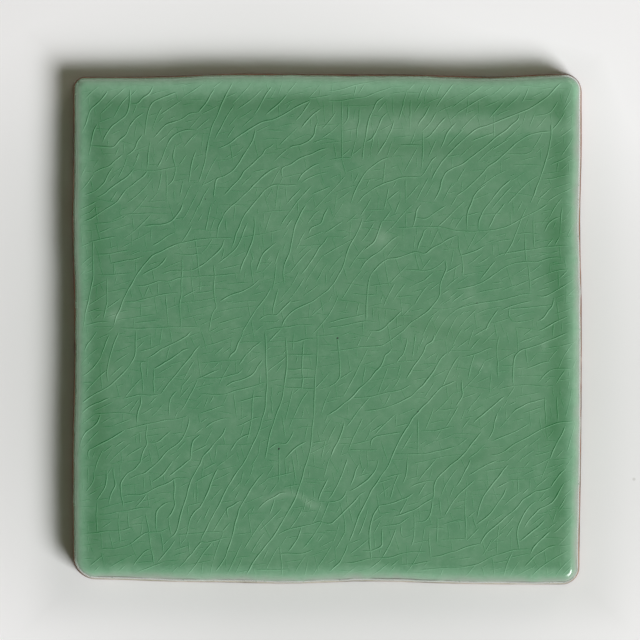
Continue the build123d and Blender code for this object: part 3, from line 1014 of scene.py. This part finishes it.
def readCracks():
    # the readings in millimetres on the tile's face, and the number of the view they were read in
    scale = studio["pictureWidth"] / studio["pictureDots"]
    scale = scale * (1 - tileShape["thickness"] * mm / studio["cameraHeight"])
    cracks, views = [], []
    for view, (corner, text) in enumerate(crackViews.items()):
        for row in text.split("/"):
            dots = np.array(row.split(), float).reshape(-1, 2) * crackReadings["dotsPerStep"] + corner
            dots = (dots - studio["pictureDots"] / 2) * (scale, -scale)
            cracks.append(dots + studio["aim"])
            views.append(view)
    return cracks, np.array(views)


def joinCracks(cracks, views):
    # a crack cut by a view's border goes on in the next view: there the two ends move to the
    # point half way between them. Open ends, which taper, are the ones that nothing joins
    ends = np.array([[crack[0], crack[-1]] for crack in cracks]).reshape(-1, 2)
    view = np.repeat(views, 2)
    ways = np.array([[crack[0] - crack[1], crack[-1] - crack[-2]] for crack in cracks]).reshape(-1, 2)
    ways = ways / np.hypot(*ways.T)[:, None]
    gap = np.hypot(*(ends[:, None] - ends[None]).transpose(2, 0, 1))
    opposed = (ways[:, None] * ways[None]).sum(-1) < crackReadings["joinFacing"]
    gap = np.where(opposed & (view[:, None] != view[None]), gap, farAway)
    partner = gap.argmin(1)
    order = np.arange(len(ends))
    joined = (gap.min(1) < crackReadings["joinWithin"]) & (partner[partner] == order)
    ends = np.where(joined[:, None], (ends + ends[partner]) / 2, ends)
    for crack, pair in zip(cracks, ends.reshape(-1, 2, 2)):
        crack[0], crack[-1] = pair
    return cracks, ~joined.reshape(-1, 2)


def smoothCurve(points):
    # points at every step along a cubic through the given ones, with slopes from their neighbours
    along = np.append(0, np.cumsum(np.hypot(*np.diff(points, axis=0).T)))
    slopes = np.gradient(points, along, axis=0)
    places = np.linspace(0, along[-1], int(along[-1] / crackle["step"]) + 2)
    span = np.clip(np.searchsorted(along, places, side="right") - 1, 0, len(points) - 2)
    gap = (along[span + 1] - along[span])[:, None]
    t = (places - along[span])[:, None] / gap
    return cubic(points[span], gap * slopes[span], points[span + 1], gap * slopes[span + 1], t)


def drawnFamily(grid):
    # the drawn cracks as one row of points each, written into the grid, with their strength
    cracks, openEnds = joinCracks(*readCracks())
    curves = [smoothCurve(points) for points in cracks]
    counts = np.array([len(curve) for curve in curves])
    longest = counts.max()
    rows = [np.pad(curve, ((0, longest - len(curve)), (0, 0)), mode="edge") for curve in curves]
    x, y = np.stack(rows).transpose(2, 0, 1)
    at = np.arange(longest)[None, :]
    used = (at < counts[:, None]) & (edgeDistance(x, y) > crackle["stopAt"])
    noiseX, noiseY = crackle["drawnWanderNoise"]
    x = x + crackle["drawnWander"] * softNoise(x, y, *noiseX)
    y = y + crackle["drawnWander"] * softNoise(x, y, *noiseY)
    headings = np.degrees(np.arctan2(np.gradient(y, axis=1), np.gradient(x, axis=1)))
    cell = cellOf(grid, x[used], y[used])
    grid["name"][cell] = np.broadcast_to(np.arange(1, len(curves) + 1)[:, None], used.shape)[used]
    grid["heading"][cell] = headings[used]
    crack = np.arange(len(curves))
    last = counts - 1
    lean = np.degrees(np.arctan2(y[crack, last] - y[:, 0], x[crack, last] - x[:, 0]))
    turned = turnBetween(lean, crackle["meanHeading"])
    across = smooth(crackle["acrossFrom"], crackle["acrossTo"], turned)
    weak, strong = crackle["drawnStrength"]
    strength = (strong + (weak - strong) * across)[:, None]
    return x, y, used, strength * taperedEnds(at, last[:, None] - at, openEnds)


def taperedEnds(fromStart, fromLast, openEnds):
    # thickness near the ends of each crack, where nothing joins it: from taperTo up to one
    fromStart = np.where(openEnds[:, :1], fromStart, farAway) * crackle["step"]
    fromLast = np.where(openEnds[:, 1:], fromLast, farAway) * crackle["step"]
    nearest = np.minimum(fromStart, fromLast)
    return crackle["taperTo"] + (1 - crackle["taperTo"]) * smooth(0, crackle["taperLength"], nearest)


def growFamily(rng, grid, names, family):
    # starts lie on a jittered square lattice; both tips of every crack take a step at a time along
    # the heading, and stop where they meet another crack, come to run close beside one, have gone
    # their length or reach the rim
    heading, spread, spacing, shortest, longest, kept, patchy, strength, beside = family
    step = crackle["step"]
    places = np.arange(-halfWidth + spacing / 2, halfWidth, spacing)
    x, y = (g.ravel() for g in np.meshgrid(places, places, indexing="ij"))
    x = x + rng.uniform(-0.5, 0.5, x.size) * spacing
    y = y + rng.uniform(-0.5, 0.5, x.size) * spacing
    wanted = (rng.uniform(0, 1, x.size) < kept) & (edgeDistance(x, y) > crackle["startInset"])
    if patchy:
        wanted &= patchShare(x, y) > rng.uniform(crackle["patchFrom"], crackle["patchTo"], x.size)
    elif heading == "flow":
        wanted &= rng.uniform(0, 1, x.size) > crackle["flowThins"] * np.clip(patchShare(x, y), 0, 1)
    clear = beside * crackle["startClear"]
    for shiftX in (-clear, 0, clear):
        for shiftY in (-clear, 0, clear):
            wanted &= grid["name"][cellOf(grid, x + shiftX, y + shiftY)] == 0
    x, y = x[wanted], y[wanted]
    count = len(x)
    offset = np.tile(rng.normal(0, spread, count), 2)
    length = rng.uniform(shortest**0.5, longest**0.5, count) ** 2
    split = rng.uniform(*crackle["split"], count)
    allowed = np.concatenate([length * split, length * (1 - split)])
    crosses = np.tile(rng.uniform(0, 1, count) < crackle["crossing"][patchy], 2)
    name = np.tile(names + 1 + np.arange(count), 2)
    sign = np.repeat([1.0, -1.0], count)
    tipX, tipY = np.tile(x, 2), np.tile(y, 2)
    alive = np.ones(2 * count, bool)
    drift = np.zeros(2 * count)
    trailX, trailY, steps = [tipX.copy()], [tipY.copy()], np.zeros(2 * count, int)
    for turn in range(int(longest / step) + 1):
        drift = drift * crackle["driftKept"] + rng.normal(0, crackle["driftStep"], 2 * count)
        if heading == "flow":
            base = flowHeading(tipX, tipY)
        else:
            base = heading + noiseLayers(tipX, tipY, crackle["patchBend"])
        degrees = base + offset + drift
        wayX, wayY = np.cos(np.radians(degrees)), np.sin(np.radians(degrees))
        nextX = tipX + sign * step * wayX
        nextY = tipY + sign * step * wayY
        cell = cellOf(grid, nextX, nextY)
        there = grid["name"][cell]
        met = (there > 0) & (there != name) & ~crosses
        for share in (-1.0, -0.5, 0.5, 1.0):
            side = cellOf(grid, nextX - wayY * beside * share, nextY + wayX * beside * share)
            near = (grid["name"][side] > 0) & (grid["name"][side] != name)
            met |= near & (turnBetween(grid["heading"][side], degrees) < crackle["besideTurn"])
        tipX = np.where(alive, nextX, tipX)
        tipY = np.where(alive, nextY, tipY)
        steps += alive
        trailX.append(tipX.copy())
        trailY.append(tipY.copy())
        written = alive & ~met
        grid["name"][cell[0][written], cell[1][written]] = name[written]
        grid["heading"][cell[0][written], cell[1][written]] = degrees[written]
        alive = written & (steps * step < allowed) & (edgeDistance(nextX, nextY) > crackle["stopAt"])
        if not alive.any():
            break
    trailX, trailY = np.array(trailX).T, np.array(trailY).T
    # tip two backwards, then tip one: one row of points for each crack
    back = slice(None, 0, -1)
    rowX = np.concatenate([trailX[count:, back], trailX[:count]], 1)
    rowY = np.concatenate([trailY[count:, back], trailY[:count]], 1)
    place = np.arange(rowX.shape[1])[None, :] - (trailX.shape[1] - 1)
    fromStart = place + steps[count:, None]
    fromLast = steps[:count, None] - place
    used = (fromStart >= 0) & (fromLast >= 0)
    long = used.sum(1) >= crackle["fewestSteps"]
    taper = taperedEnds(fromStart, fromLast, np.ones((count, 2), bool))
    force = strength * rng.uniform(*crackle["grownStrength"], count)[:, None] * taper
    return rowX[long], rowY[long], used[long], force[long], names + count


def ridgeAlong(x, y, used, strength):
    # the cross-section carried along every crack of one family: left foot, crest and right foot,
    # square to the crack's way; the crest stands over the glaze by height times strength
    crack, at = np.nonzero(used)
    x, y, strength = x[crack, at], y[crack, at], strength[crack, at]
    joined = (crack[1:] == crack[:-1]) & (at[1:] == at[:-1] + 1)
    first = np.append(True, ~joined)
    last = np.append(~joined, True)
    order = np.arange(len(x))
    before = np.where(first, order, order - 1)
    after = np.where(last, order, order + 1)
    wayX, wayY = x[after] - x[before], y[after] - y[before]
    size = np.maximum(np.hypot(wayX, wayY), 1e-6)
    wayX, wayY = wayX / size, wayY / size
    inside = smooth(*crackle["fadeFrom"], edgeDistance(x, y))
    force = strength * (crackle["rimShare"] + (1 - crackle["rimShare"]) * inside)
    force = force * (crackle["strengthMean"] + noiseLayers(x, y, crackle["strengthNoise"]))
    half = crackle["halfWidth"] * (crackle["narrowest"] + (1 - crackle["narrowest"]) * force)
    edges = []
    for side, rise in ((-1, -crackle["sunk"]), (0, crackle["height"] * force), (1, -crackle["sunk"])):
        px, py = x + side * wayY * half, y - side * wayX * half
        inset = edgeDistance(px, py)
        surface = faceHeight(px, py) - rollDrop(inset - edgeDent(px, py, inset))
        edges.append(np.stack([px, py, surface + rise], -1))
    litX, litY = crackle["litFrom"]
    # facing sets the painted highlight and shade of the flanks: lighter towards the lamp, darker away
    facing = wayX * litY - wayY * litX  # how much the left flank faces the lit side
    return np.stack(edges, 1).reshape(-1, 3), joined, first, last, facing


def buildCrackle(material):
    # two flanks that meet in a crest over the glaze, and a base just under it, along every crack
    rng = np.random.default_rng(crackle["seed"])
    size = int(tileShape["width"] / crackle["step"]) + 1
    grid = {"name": np.zeros((size, size), int), "heading": np.zeros((size, size))}
    blocks = [drawnFamily(grid)]
    names = len(blocks[0][3])
    print("  drawn cracks:", names)
    for family in crackle["families"]:
        *block, names = growFamily(rng, grid, names, family)
        blocks.append(block)
        print("  grown cracks:", len(block[3]), "of", round(block[2].sum() * crackle["step"] * mm, 2), "m")
    points, quads, caps, facings = [], [], [], []
    total = 0
    for block in blocks:
        ridge, joined, first, last, facing = ridgeAlong(*block)
        start = total + 3 * np.nonzero(joined)[0]
        for low, high in ((0, 1), (1, 2), (2, 0)):
            quads.append(np.stack([start + high, start + 3 + high, start + 3 + low, start + low], -1))
        heads = total + 3 * np.nonzero(first)[0]
        tails = total + 3 * np.nonzero(last)[0]
        caps.append(np.stack([heads, heads + 1, heads + 2], -1))
        caps.append(np.stack([tails + 2, tails + 1, tails], -1))
        facings.append(facing[:-1][joined])
        points.append(ridge)
        total += len(ridge)
    points = np.concatenate(points)
    facing = np.concatenate(facings)
    left, right, base = (np.concatenate(quads[n::3]) for n in range(3))
    ends = np.concatenate(caps)
    plan = points[:, :2] / (tileShape["width"], tileShape["height"]) + 0.5
    plan = plan * (1.0, planShare)
    hiddenBase = np.tile(crackle["hiddenPatch"], (len(base), 1))
    hiddenEnds = np.tile(crackle["hiddenPatch"][:3], (len(ends), 1))
    seams = np.concatenate([plan[left.ravel()], plan[right.ravel()], hiddenBase, hiddenEnds])
    piece = makePiece("crackleLines", points, [left, right, base, ends], material, seams, flat=True)
    px, py = points[:, 0], points[:, 1]
    for name, values in depthMasks(px, py, edgeDistance(px, py)).items():
        addMask(piece, name, values)
    # painted highlight and shade of the flanks: plus where a flank faces the lamp, minus where it turns away
    addMask(piece, "facing", np.concatenate([facing, -facing, np.zeros(len(base) + len(ends))]), "FACE")
    print("crackle:", len(piece.data.polygons), "faces")


def srgb(red, green, blue):
    # a colour as seen on a screen, turned into the linear values that the shader takes
    values = np.array([red, green, blue]) / 255
    linear = np.where(values <= 0.04045, values / 12.92, ((values + 0.055) / 1.055) ** 2.4)
    return (*linear.tolist(), 1.0)


def feed(tree, socket, value):
    # gives a socket its value, or the link that brings it
    if isinstance(value, bpy.types.NodeSocket):
        tree.links.new(value, socket)
    else:
        socket.default_value = value


def addNode(tree, kind, inputs=None, **settings):
    node = tree.nodes.new(kind)
    for name, value in settings.items():
        setattr(node, name, value)
    for name, value in (inputs or {}).items():
        feed(tree, node.inputs[name], value)
    return node


def newMaterial(name):
    material = bpy.data.materials.new(name)
    material.use_nodes = True
    tree = material.node_tree
    tree.nodes.clear()
    shader = addNode(tree, "ShaderNodeBsdfPrincipled")
    addNode(tree, "ShaderNodeOutputMaterial", {"Surface": shader.outputs[0]})
    return material, tree, shader


def mixColour(tree, share, first, second):
    node = addNode(tree, "ShaderNodeMix", data_type="RGBA")
    sockets = {socket.identifier: socket for socket in [*node.inputs, *node.outputs]}
    feed(tree, sockets["Factor_Float"], share)
    feed(tree, sockets["A_Color"], first)
    feed(tree, sockets["B_Color"], second)
    return sockets["Result_Color"]


def mathNode(tree, operation, first, second=0.0, third=0.0, clamp=False):
    inputs = {0: first, 1: second, 2: third}
    return addNode(tree, "ShaderNodeMath", inputs, operation=operation, use_clamp=clamp).outputs[0]


def scaledNode(tree, value, scale, added=0.0, clamp=False):
    # value * scale + added
    return mathNode(tree, "MULTIPLY_ADD", value, scale, added, clamp)


def vectorNode(tree, operation, *values, output="Vector"):
    inputs = dict(enumerate(values))
    return addNode(tree, "ShaderNodeVectorMath", inputs, operation=operation).outputs[output]


def noiseNode(tree, place, scale, detail=2.0, roughness=0.5):
    inputs = {"Vector": place, "Scale": scale, "Detail": detail, "Roughness": roughness}
    return addNode(tree, "ShaderNodeTexNoise", inputs).outputs["Fac"]


def cellNode(tree, place, scale):
    # distance to the middle of the nearest of many scattered cells
    return addNode(tree, "ShaderNodeTexVoronoi", {"Vector": place, "Scale": scale}).outputs["Distance"]


def rangeNode(tree, value, fromLow, fromHigh, toLow=0.0, toHigh=1.0):
    inputs = {"Value": value, "From Min": fromLow, "From Max": fromHigh, "To Min": toLow, "To Max": toHigh}
    return addNode(tree, "ShaderNodeMapRange", inputs, interpolation_type="SMOOTHSTEP").outputs[0]


def maskNode(tree, name):
    return addNode(tree, "ShaderNodeAttribute", attribute_name=name).outputs["Fac"]


def placeNode(tree):
    return addNode(tree, "ShaderNodeTexCoord").outputs["Object"]


def addBump(tree, shader, strength, distance, height):
    inputs = {"Strength": strength, "Distance": distance, "Height": height}
    feed(tree, shader.inputs["Normal"], addNode(tree, "ShaderNodeBump", inputs).outputs[0])


glazeTones = {
    "green": srgb(77, 132, 95),
    "lighter": srgb(92, 140, 105),
    "pooled": srgb(54, 114, 70),
    "thin": srgb(171, 219, 189),
    "cream": srgb(147, 150, 144),
    # the colour of the painted shade under the coat's lip
    "lipShade": srgb(62, 66, 52),
    # the milky veils' colour, which also paints the sheen on the swells
    "haze": srgb(122, 160, 132),
}
glazeLook = {
    # scale, detail and roughness of the noises, and how much the mottling moves each tone
    "mottle": (420.0, 3.0, 0.6),
    "speckle": (1900.0, 2.0, 0.6),
    "speckleShare": 0.6,
    "lift": 0.42,
    "blotchShare": 0.5,
    "poolMottle": 0.5,
    "thinMottle": 0.3,
    "smudge": (260.0, 3.0),
    "smudgeRange": (0.3, 0.75),
    "smudgeRoughness": 0.12,
    "bumpDistance": 0.00003,
    "refraction": 1.5,
    # pinholes: x, y and radius in millimetres, then how each shows, and where its edge starts and
    # ends as shares of its radius
    "pinholes": (
        (2.6, -2.3, 0.26),
        (-12.3, -30.4, 0.28),
        (23.0, -21.0, 0.17),
        (38.0, 6.6, 0.16),
        (-31.0, 33.0, 0.15),
    ),
    "pinholeTone": srgb(14, 20, 14),
    "pinholeShare": 0.95,
    "pinholeDepth": 4.0,
    "pinholeEdge": (0.5, 1.3),
}
coatFinish = {
    "roughness": 0.09,
    "mottle": 0.8,
    "bump": 0.25,
    "specular": 0.5,
}
# a crack's flank gains this grey where it faces the lit side, and loses it where it turns away:
# painted highlight and shade
lineFinish = {
    "roughness": 0.5,
    "mottle": 0.3,
    "bump": 0.1,
    "specular": 0.2,
    "flankPaintedLight": (0.042, 0.06, 0.047),
}


def glazeGroup():
    # the colour of melted glaze out of the masks on the mesh, with fine mottling, and its height
    group = bpy.data.node_groups.new("meltedGlaze", "ShaderNodeTree")
    for name in glazeTones:
        group.interface.new_socket(name.title(), in_out="INPUT", socket_type="NodeSocketColor")
    group.interface.new_socket("Mottle", in_out="INPUT", socket_type="NodeSocketFloat")
    group.interface.new_socket("Color", in_out="OUTPUT", socket_type="NodeSocketColor")
    group.interface.new_socket("Height", in_out="OUTPUT", socket_type="NodeSocketFloat")
    given = addNode(group, "NodeGroupInput").outputs
    place = placeNode(group)
    look = glazeLook
    mottle = noiseNode(group, place, *look["mottle"])
    speckle = noiseNode(group, place, *look["speckle"])

    def spread(noise):
        # the noise about its middle, times the amount of mottling
        return mathNode(group, "MULTIPLY", mathNode(group, "SUBTRACT", noise, 0.5), given["Mottle"])

    def clamped(value, share, added):
        return scaledNode(group, value, share, added, clamp=True)

    uneven = scaledNode(group, spread(speckle), look["speckleShare"], spread(mottle))
    lifted = mathNode(group, "ADD", uneven, look["lift"])
    lift = clamped(maskNode(group, "blotches"), look["blotchShare"], lifted)
    colour = mixColour(group, lift, given["Green"], given["Lighter"])
    for name, share in (
        ("haze", clamped(maskNode(group, "haze"), 1.0, 0.0)),
        ("pooled", clamped(uneven, look["poolMottle"], maskNode(group, "pool"))),
        ("thin", clamped(uneven, look["thinMottle"], maskNode(group, "thin"))),
        ("cream", clamped(maskNode(group, "cream"), 1.0, 0.0)),
        # the painted shade along the rim, under the coat's lip
        ("lipShade", maskNode(group, "lipShade")),
    ):
        colour = mixColour(group, share, colour, given[name.title()])
    flat = vectorNode(group, "MULTIPLY", place, (1, 1, 0))
    holes = 0.0
    for x, y, radius in look["pinholes"]:
        away = vectorNode(group, "DISTANCE", flat, (x * mm, y * mm, 0), output="Value")
        start, end = (radius * mm * share for share in look["pinholeEdge"])
        holes = mathNode(group, "MAXIMUM", holes, rangeNode(group, away, start, end, 1.0, 0.0))
    shown = mathNode(group, "MULTIPLY", holes, look["pinholeShare"])
    colour = mixColour(group, shown, colour, look["pinholeTone"])
    height = scaledNode(group, holes, -look["pinholeDepth"], mottle)
    addNode(group, "NodeGroupOutput", {"Color": colour, "Height": height})
    return group


def glazeMaterial(name, group, finish):
    material, tree, shader = newMaterial(name)
    tone = addNode(tree, "ShaderNodeGroup", node_tree=group)
    for colour, value in glazeTones.items():
        tone.inputs[colour.title()].default_value = value
    tone.inputs["Mottle"].default_value = finish["mottle"]
    smudge = noiseNode(tree, placeNode(tree), *glazeLook["smudge"])
    colour = tone.outputs["Color"]
    # painted highlight and shade on the crack flanks, by how each faces the lamp
    if "flankPaintedLight" in finish:
        colour = vectorNode(tree, "MULTIPLY_ADD", maskNode(tree, "facing"), finish["flankPaintedLight"], colour)
    feed(tree, shader.inputs["Base Color"], colour)
    low = finish["roughness"]
    high = low + glazeLook["smudgeRoughness"]
    feed(tree, shader.inputs["Roughness"], rangeNode(tree, smudge, *glazeLook["smudgeRange"], low, high))
    addBump(tree, shader, finish["bump"], glazeLook["bumpDistance"], tone.outputs["Height"])
    shader.inputs["IOR"].default_value = glazeLook["refraction"]
    shader.inputs["Specular IOR Level"].default_value = finish["specular"]
    return material


clayLook = {
    # each noise's scale, detail and roughness, and the range in which its tone comes in
    "dark": srgb(138, 80, 60),
    "light": srgb(160, 102, 78),
    "fired": (60.0, 4.0, 0.6),
    "firedRange": (0.35, 0.68),
    "grainTone": srgb(120, 72, 56),
    "grain": (1500.0, 4.0, 0.7),
    "grainRange": (0.4, 0.75, 0.0, 0.5),
    "gritTone": srgb(206, 172, 146),
    "gritScale": 900.0,
    "gritRange": (0.02, 0.16, 0.55, 0.0),
    "slipTone": srgb(198, 190, 176),
    "slipRange": (0.25, 0.5, 0.6, 1.0),  # slip lies less thick between the grains
    # the colour of the painted shade at the foot
    "footShadeTone": srgb(58, 42, 36),
    "washTone": srgb(128, 144, 118),
    "roughness": 0.88,
    "gritDepth": 0.8,
    "bump": 0.6,
    "bumpDistance": 0.00012,
}


def clayMaterial():
    # red clay: fine sand grain, slow changes of firing colour, pale smears, painted shade at the foot and a
    # thin wash
    material, tree, shader = newMaterial("redClay")
    place = placeNode(tree)
    fired = noiseNode(tree, place, *clayLook["fired"])
    grain = noiseNode(tree, place, *clayLook["grain"])
    grit = cellNode(tree, place, clayLook["gritScale"])
    slip = rangeNode(tree, grain, *clayLook["slipRange"])
    colour = clayLook["dark"]
    for tone, share in (
        ("light", rangeNode(tree, fired, *clayLook["firedRange"])),
        ("grainTone", rangeNode(tree, grain, *clayLook["grainRange"])),
        ("gritTone", rangeNode(tree, grit, *clayLook["gritRange"])),
        ("slipTone", mathNode(tree, "MULTIPLY", maskNode(tree, "slip"), slip)),
        ("footShadeTone", maskNode(tree, "footShade")),
        ("washTone", maskNode(tree, "wash")),
    ):
        colour = mixColour(tree, share, colour, clayLook[tone])
    feed(tree, shader.inputs["Base Color"], colour)
    shader.inputs["Roughness"].default_value = clayLook["roughness"]
    relief = scaledNode(tree, grit, -clayLook["gritDepth"], grain)
    addBump(tree, shader, clayLook["bump"], clayLook["bumpDistance"], relief)
    return material


floorLook = {
    "size": 3.0,
    "below": 0.00003,
    # the two ends of the painted light on the board: its lightest and its dullest
    "light": srgb(250, 250, 254),
    "dimBoard": srgb(200, 202, 201),
    # painted light: how the board grows lighter away from the tile, up the picture, and with the
    # square of the distance along the rising and the falling diagonal and up and down
    "lift": 0.2,
    "up": (0.5, 2.4, 0.0),
    "lightPoolSquared": ((5.7, 5.7, 0.0), (4.8, -4.8, 0.0), (0.0, 4.6, 0.0)),
    "cloud": 0.12,
    "cloudNoise": (14.0, 3.0),
    # and painted shade: how much duller it is close to the tile, out to this far from the middle
    "near": 0.22,
    "shadeNearFrom": 0.066,
    "shadeNearTo": 0.079,
    "speckTone": srgb(150, 146, 138),
    "speckScale": 55.0,
    "speckRange": (0.012, 0.03, 0.3, 0.0),
    "roughness": 0.7,
    "fineNoise": (700.0, 3.0),
    "bump": 0.1,
    "bumpDistance": 0.0001,
}


def buildFloor():
    # a pale painted board with faint smudges, specks, painted light and painted shade round the tile
    material, tree, shader = newMaterial("paleFloor")
    place = placeNode(tree)
    # painted light: lighter up the picture and along the diagonals
    tone = vectorNode(tree, "DOT_PRODUCT", place, floorLook["up"], output="Value")
    tone = mathNode(tree, "ADD", tone, floorLook["lift"])
    for direction in floorLook["lightPoolSquared"]:
        way = vectorNode(tree, "DOT_PRODUCT", place, direction, output="Value")
        tone = scaledNode(tree, way, way, tone)
    # painted shade close to the tile
    apart = addNode(tree, "ShaderNodeSeparateXYZ", {0: vectorNode(tree, "ABSOLUTE", place)}).outputs
    out = mathNode(tree, "MAXIMUM", apart["X"], apart["Y"])
    near = rangeNode(tree, out, floorLook["shadeNearFrom"], floorLook["shadeNearTo"], floorLook["near"], 0.0)
    tone = mathNode(tree, "SUBTRACT", tone, near)
    cloud = mathNode(tree, "SUBTRACT", noiseNode(tree, place, *floorLook["cloudNoise"]), 0.5)
    tone = scaledNode(tree, cloud, floorLook["cloud"], tone, clamp=True)
    colour = mixColour(tree, tone, floorLook["dimBoard"], floorLook["light"])
    speck = cellNode(tree, place, floorLook["speckScale"])
    speck = rangeNode(tree, speck, *floorLook["speckRange"])
    colour = mixColour(tree, speck, colour, floorLook["speckTone"])
    feed(tree, shader.inputs["Base Color"], colour)
    shader.inputs["Roughness"].default_value = floorLook["roughness"]
    fine = noiseNode(tree, place, *floorLook["fineNoise"])
    addBump(tree, shader, floorLook["bump"], floorLook["bumpDistance"], fine)
    half = floorLook["size"] / 2
    corners = ((-half, -half), (half, -half), (half, half), (-half, half))
    mesh = bpy.data.meshes.new("floor")
    mesh.from_pydata([(x, y, -floorLook["below"]) for x, y in corners], [], [(0, 1, 2, 3)])
    floor = bpy.data.objects.new("floor", mesh)
    bpy.context.scene.collection.objects.link(floor)
    floor.data.materials.append(material)


def addLamp(name, towards, size, power, colour):
    # a square lamp that faces the tile's middle
    lamp = bpy.data.lights.new(name, "AREA")
    lamp.shape = "SQUARE"
    lamp.size = size
    lamp.energy = power
    lamp.color = colour
    held = bpy.data.objects.new(name, lamp)
    way = Vector(towards).normalized()
    held.location = way * studio["lampDistance"]
    held.rotation_euler = way.to_track_quat("Z", "Y").to_euler()
    bpy.context.scene.collection.objects.link(held)


def buildStudio():
    # the lamps, the room's light with the backdrop that the camera sees, and the camera
    scene = bpy.context.scene
    addLamp("key", studio["keyFrom"], studio["keySize"], studio["keyPower"], studio["keyColour"])
    for number, (towards, size, power) in enumerate(studio["bounces"]):
        addLamp(f"bounce{number}", towards, size, power, studio["bounceColour"])

    world = bpy.data.worlds.new("studio")
    scene.world = world
    world.use_nodes = True
    tree = world.node_tree
    tree.nodes.clear()
    ray = addNode(tree, "ShaderNodeLightPath").outputs
    seen = mathNode(tree, "MAXIMUM", ray["Is Camera Ray"], ray["Is Glossy Ray"])
    seen = mathNode(tree, "MAXIMUM", seen, ray["Is Transmission Ray"])
    room = addNode(tree, "ShaderNodeBackground", {"Color": studio["fillColour"], "Strength": studio["fill"]})
    pale = studio["backdrop"]
    backdrop = addNode(tree, "ShaderNodeBackground", {"Color": (pale, pale, pale, 1)})
    both = addNode(tree, "ShaderNodeMixShader", {0: seen, 1: room.outputs[0], 2: backdrop.outputs[0]})
    addNode(tree, "ShaderNodeOutputWorld", {"Surface": both.outputs[0]})

    camera = bpy.data.cameras.new("camera")
    camera.sensor_width = studio["sensor"]
    camera.lens = studio["sensor"] * studio["cameraHeight"] / (studio["pictureWidth"] * mm)
    camera.clip_start = studio["clipFrom"]
    camera.clip_end = studio["clipTo"]
    view = bpy.data.objects.new("camera", camera)
    view.location = (studio["aim"][0] * mm, studio["aim"][1] * mm, studio["cameraHeight"])
    scene.collection.objects.link(view)
    scene.camera = view
    scene.view_settings.view_transform = "Standard"


def buildAll():
    buildStudio()
    buildFloor()
    print("studio and floor ready")
    group = glazeGroup()
    buildGlaze(glazeMaterial("crackleGlazeGreen", group, coatFinish))
    buildClay(clayMaterial())
    buildCrackle(glazeMaterial("crackleLineGlaze", group, lineFinish))


buildAll()
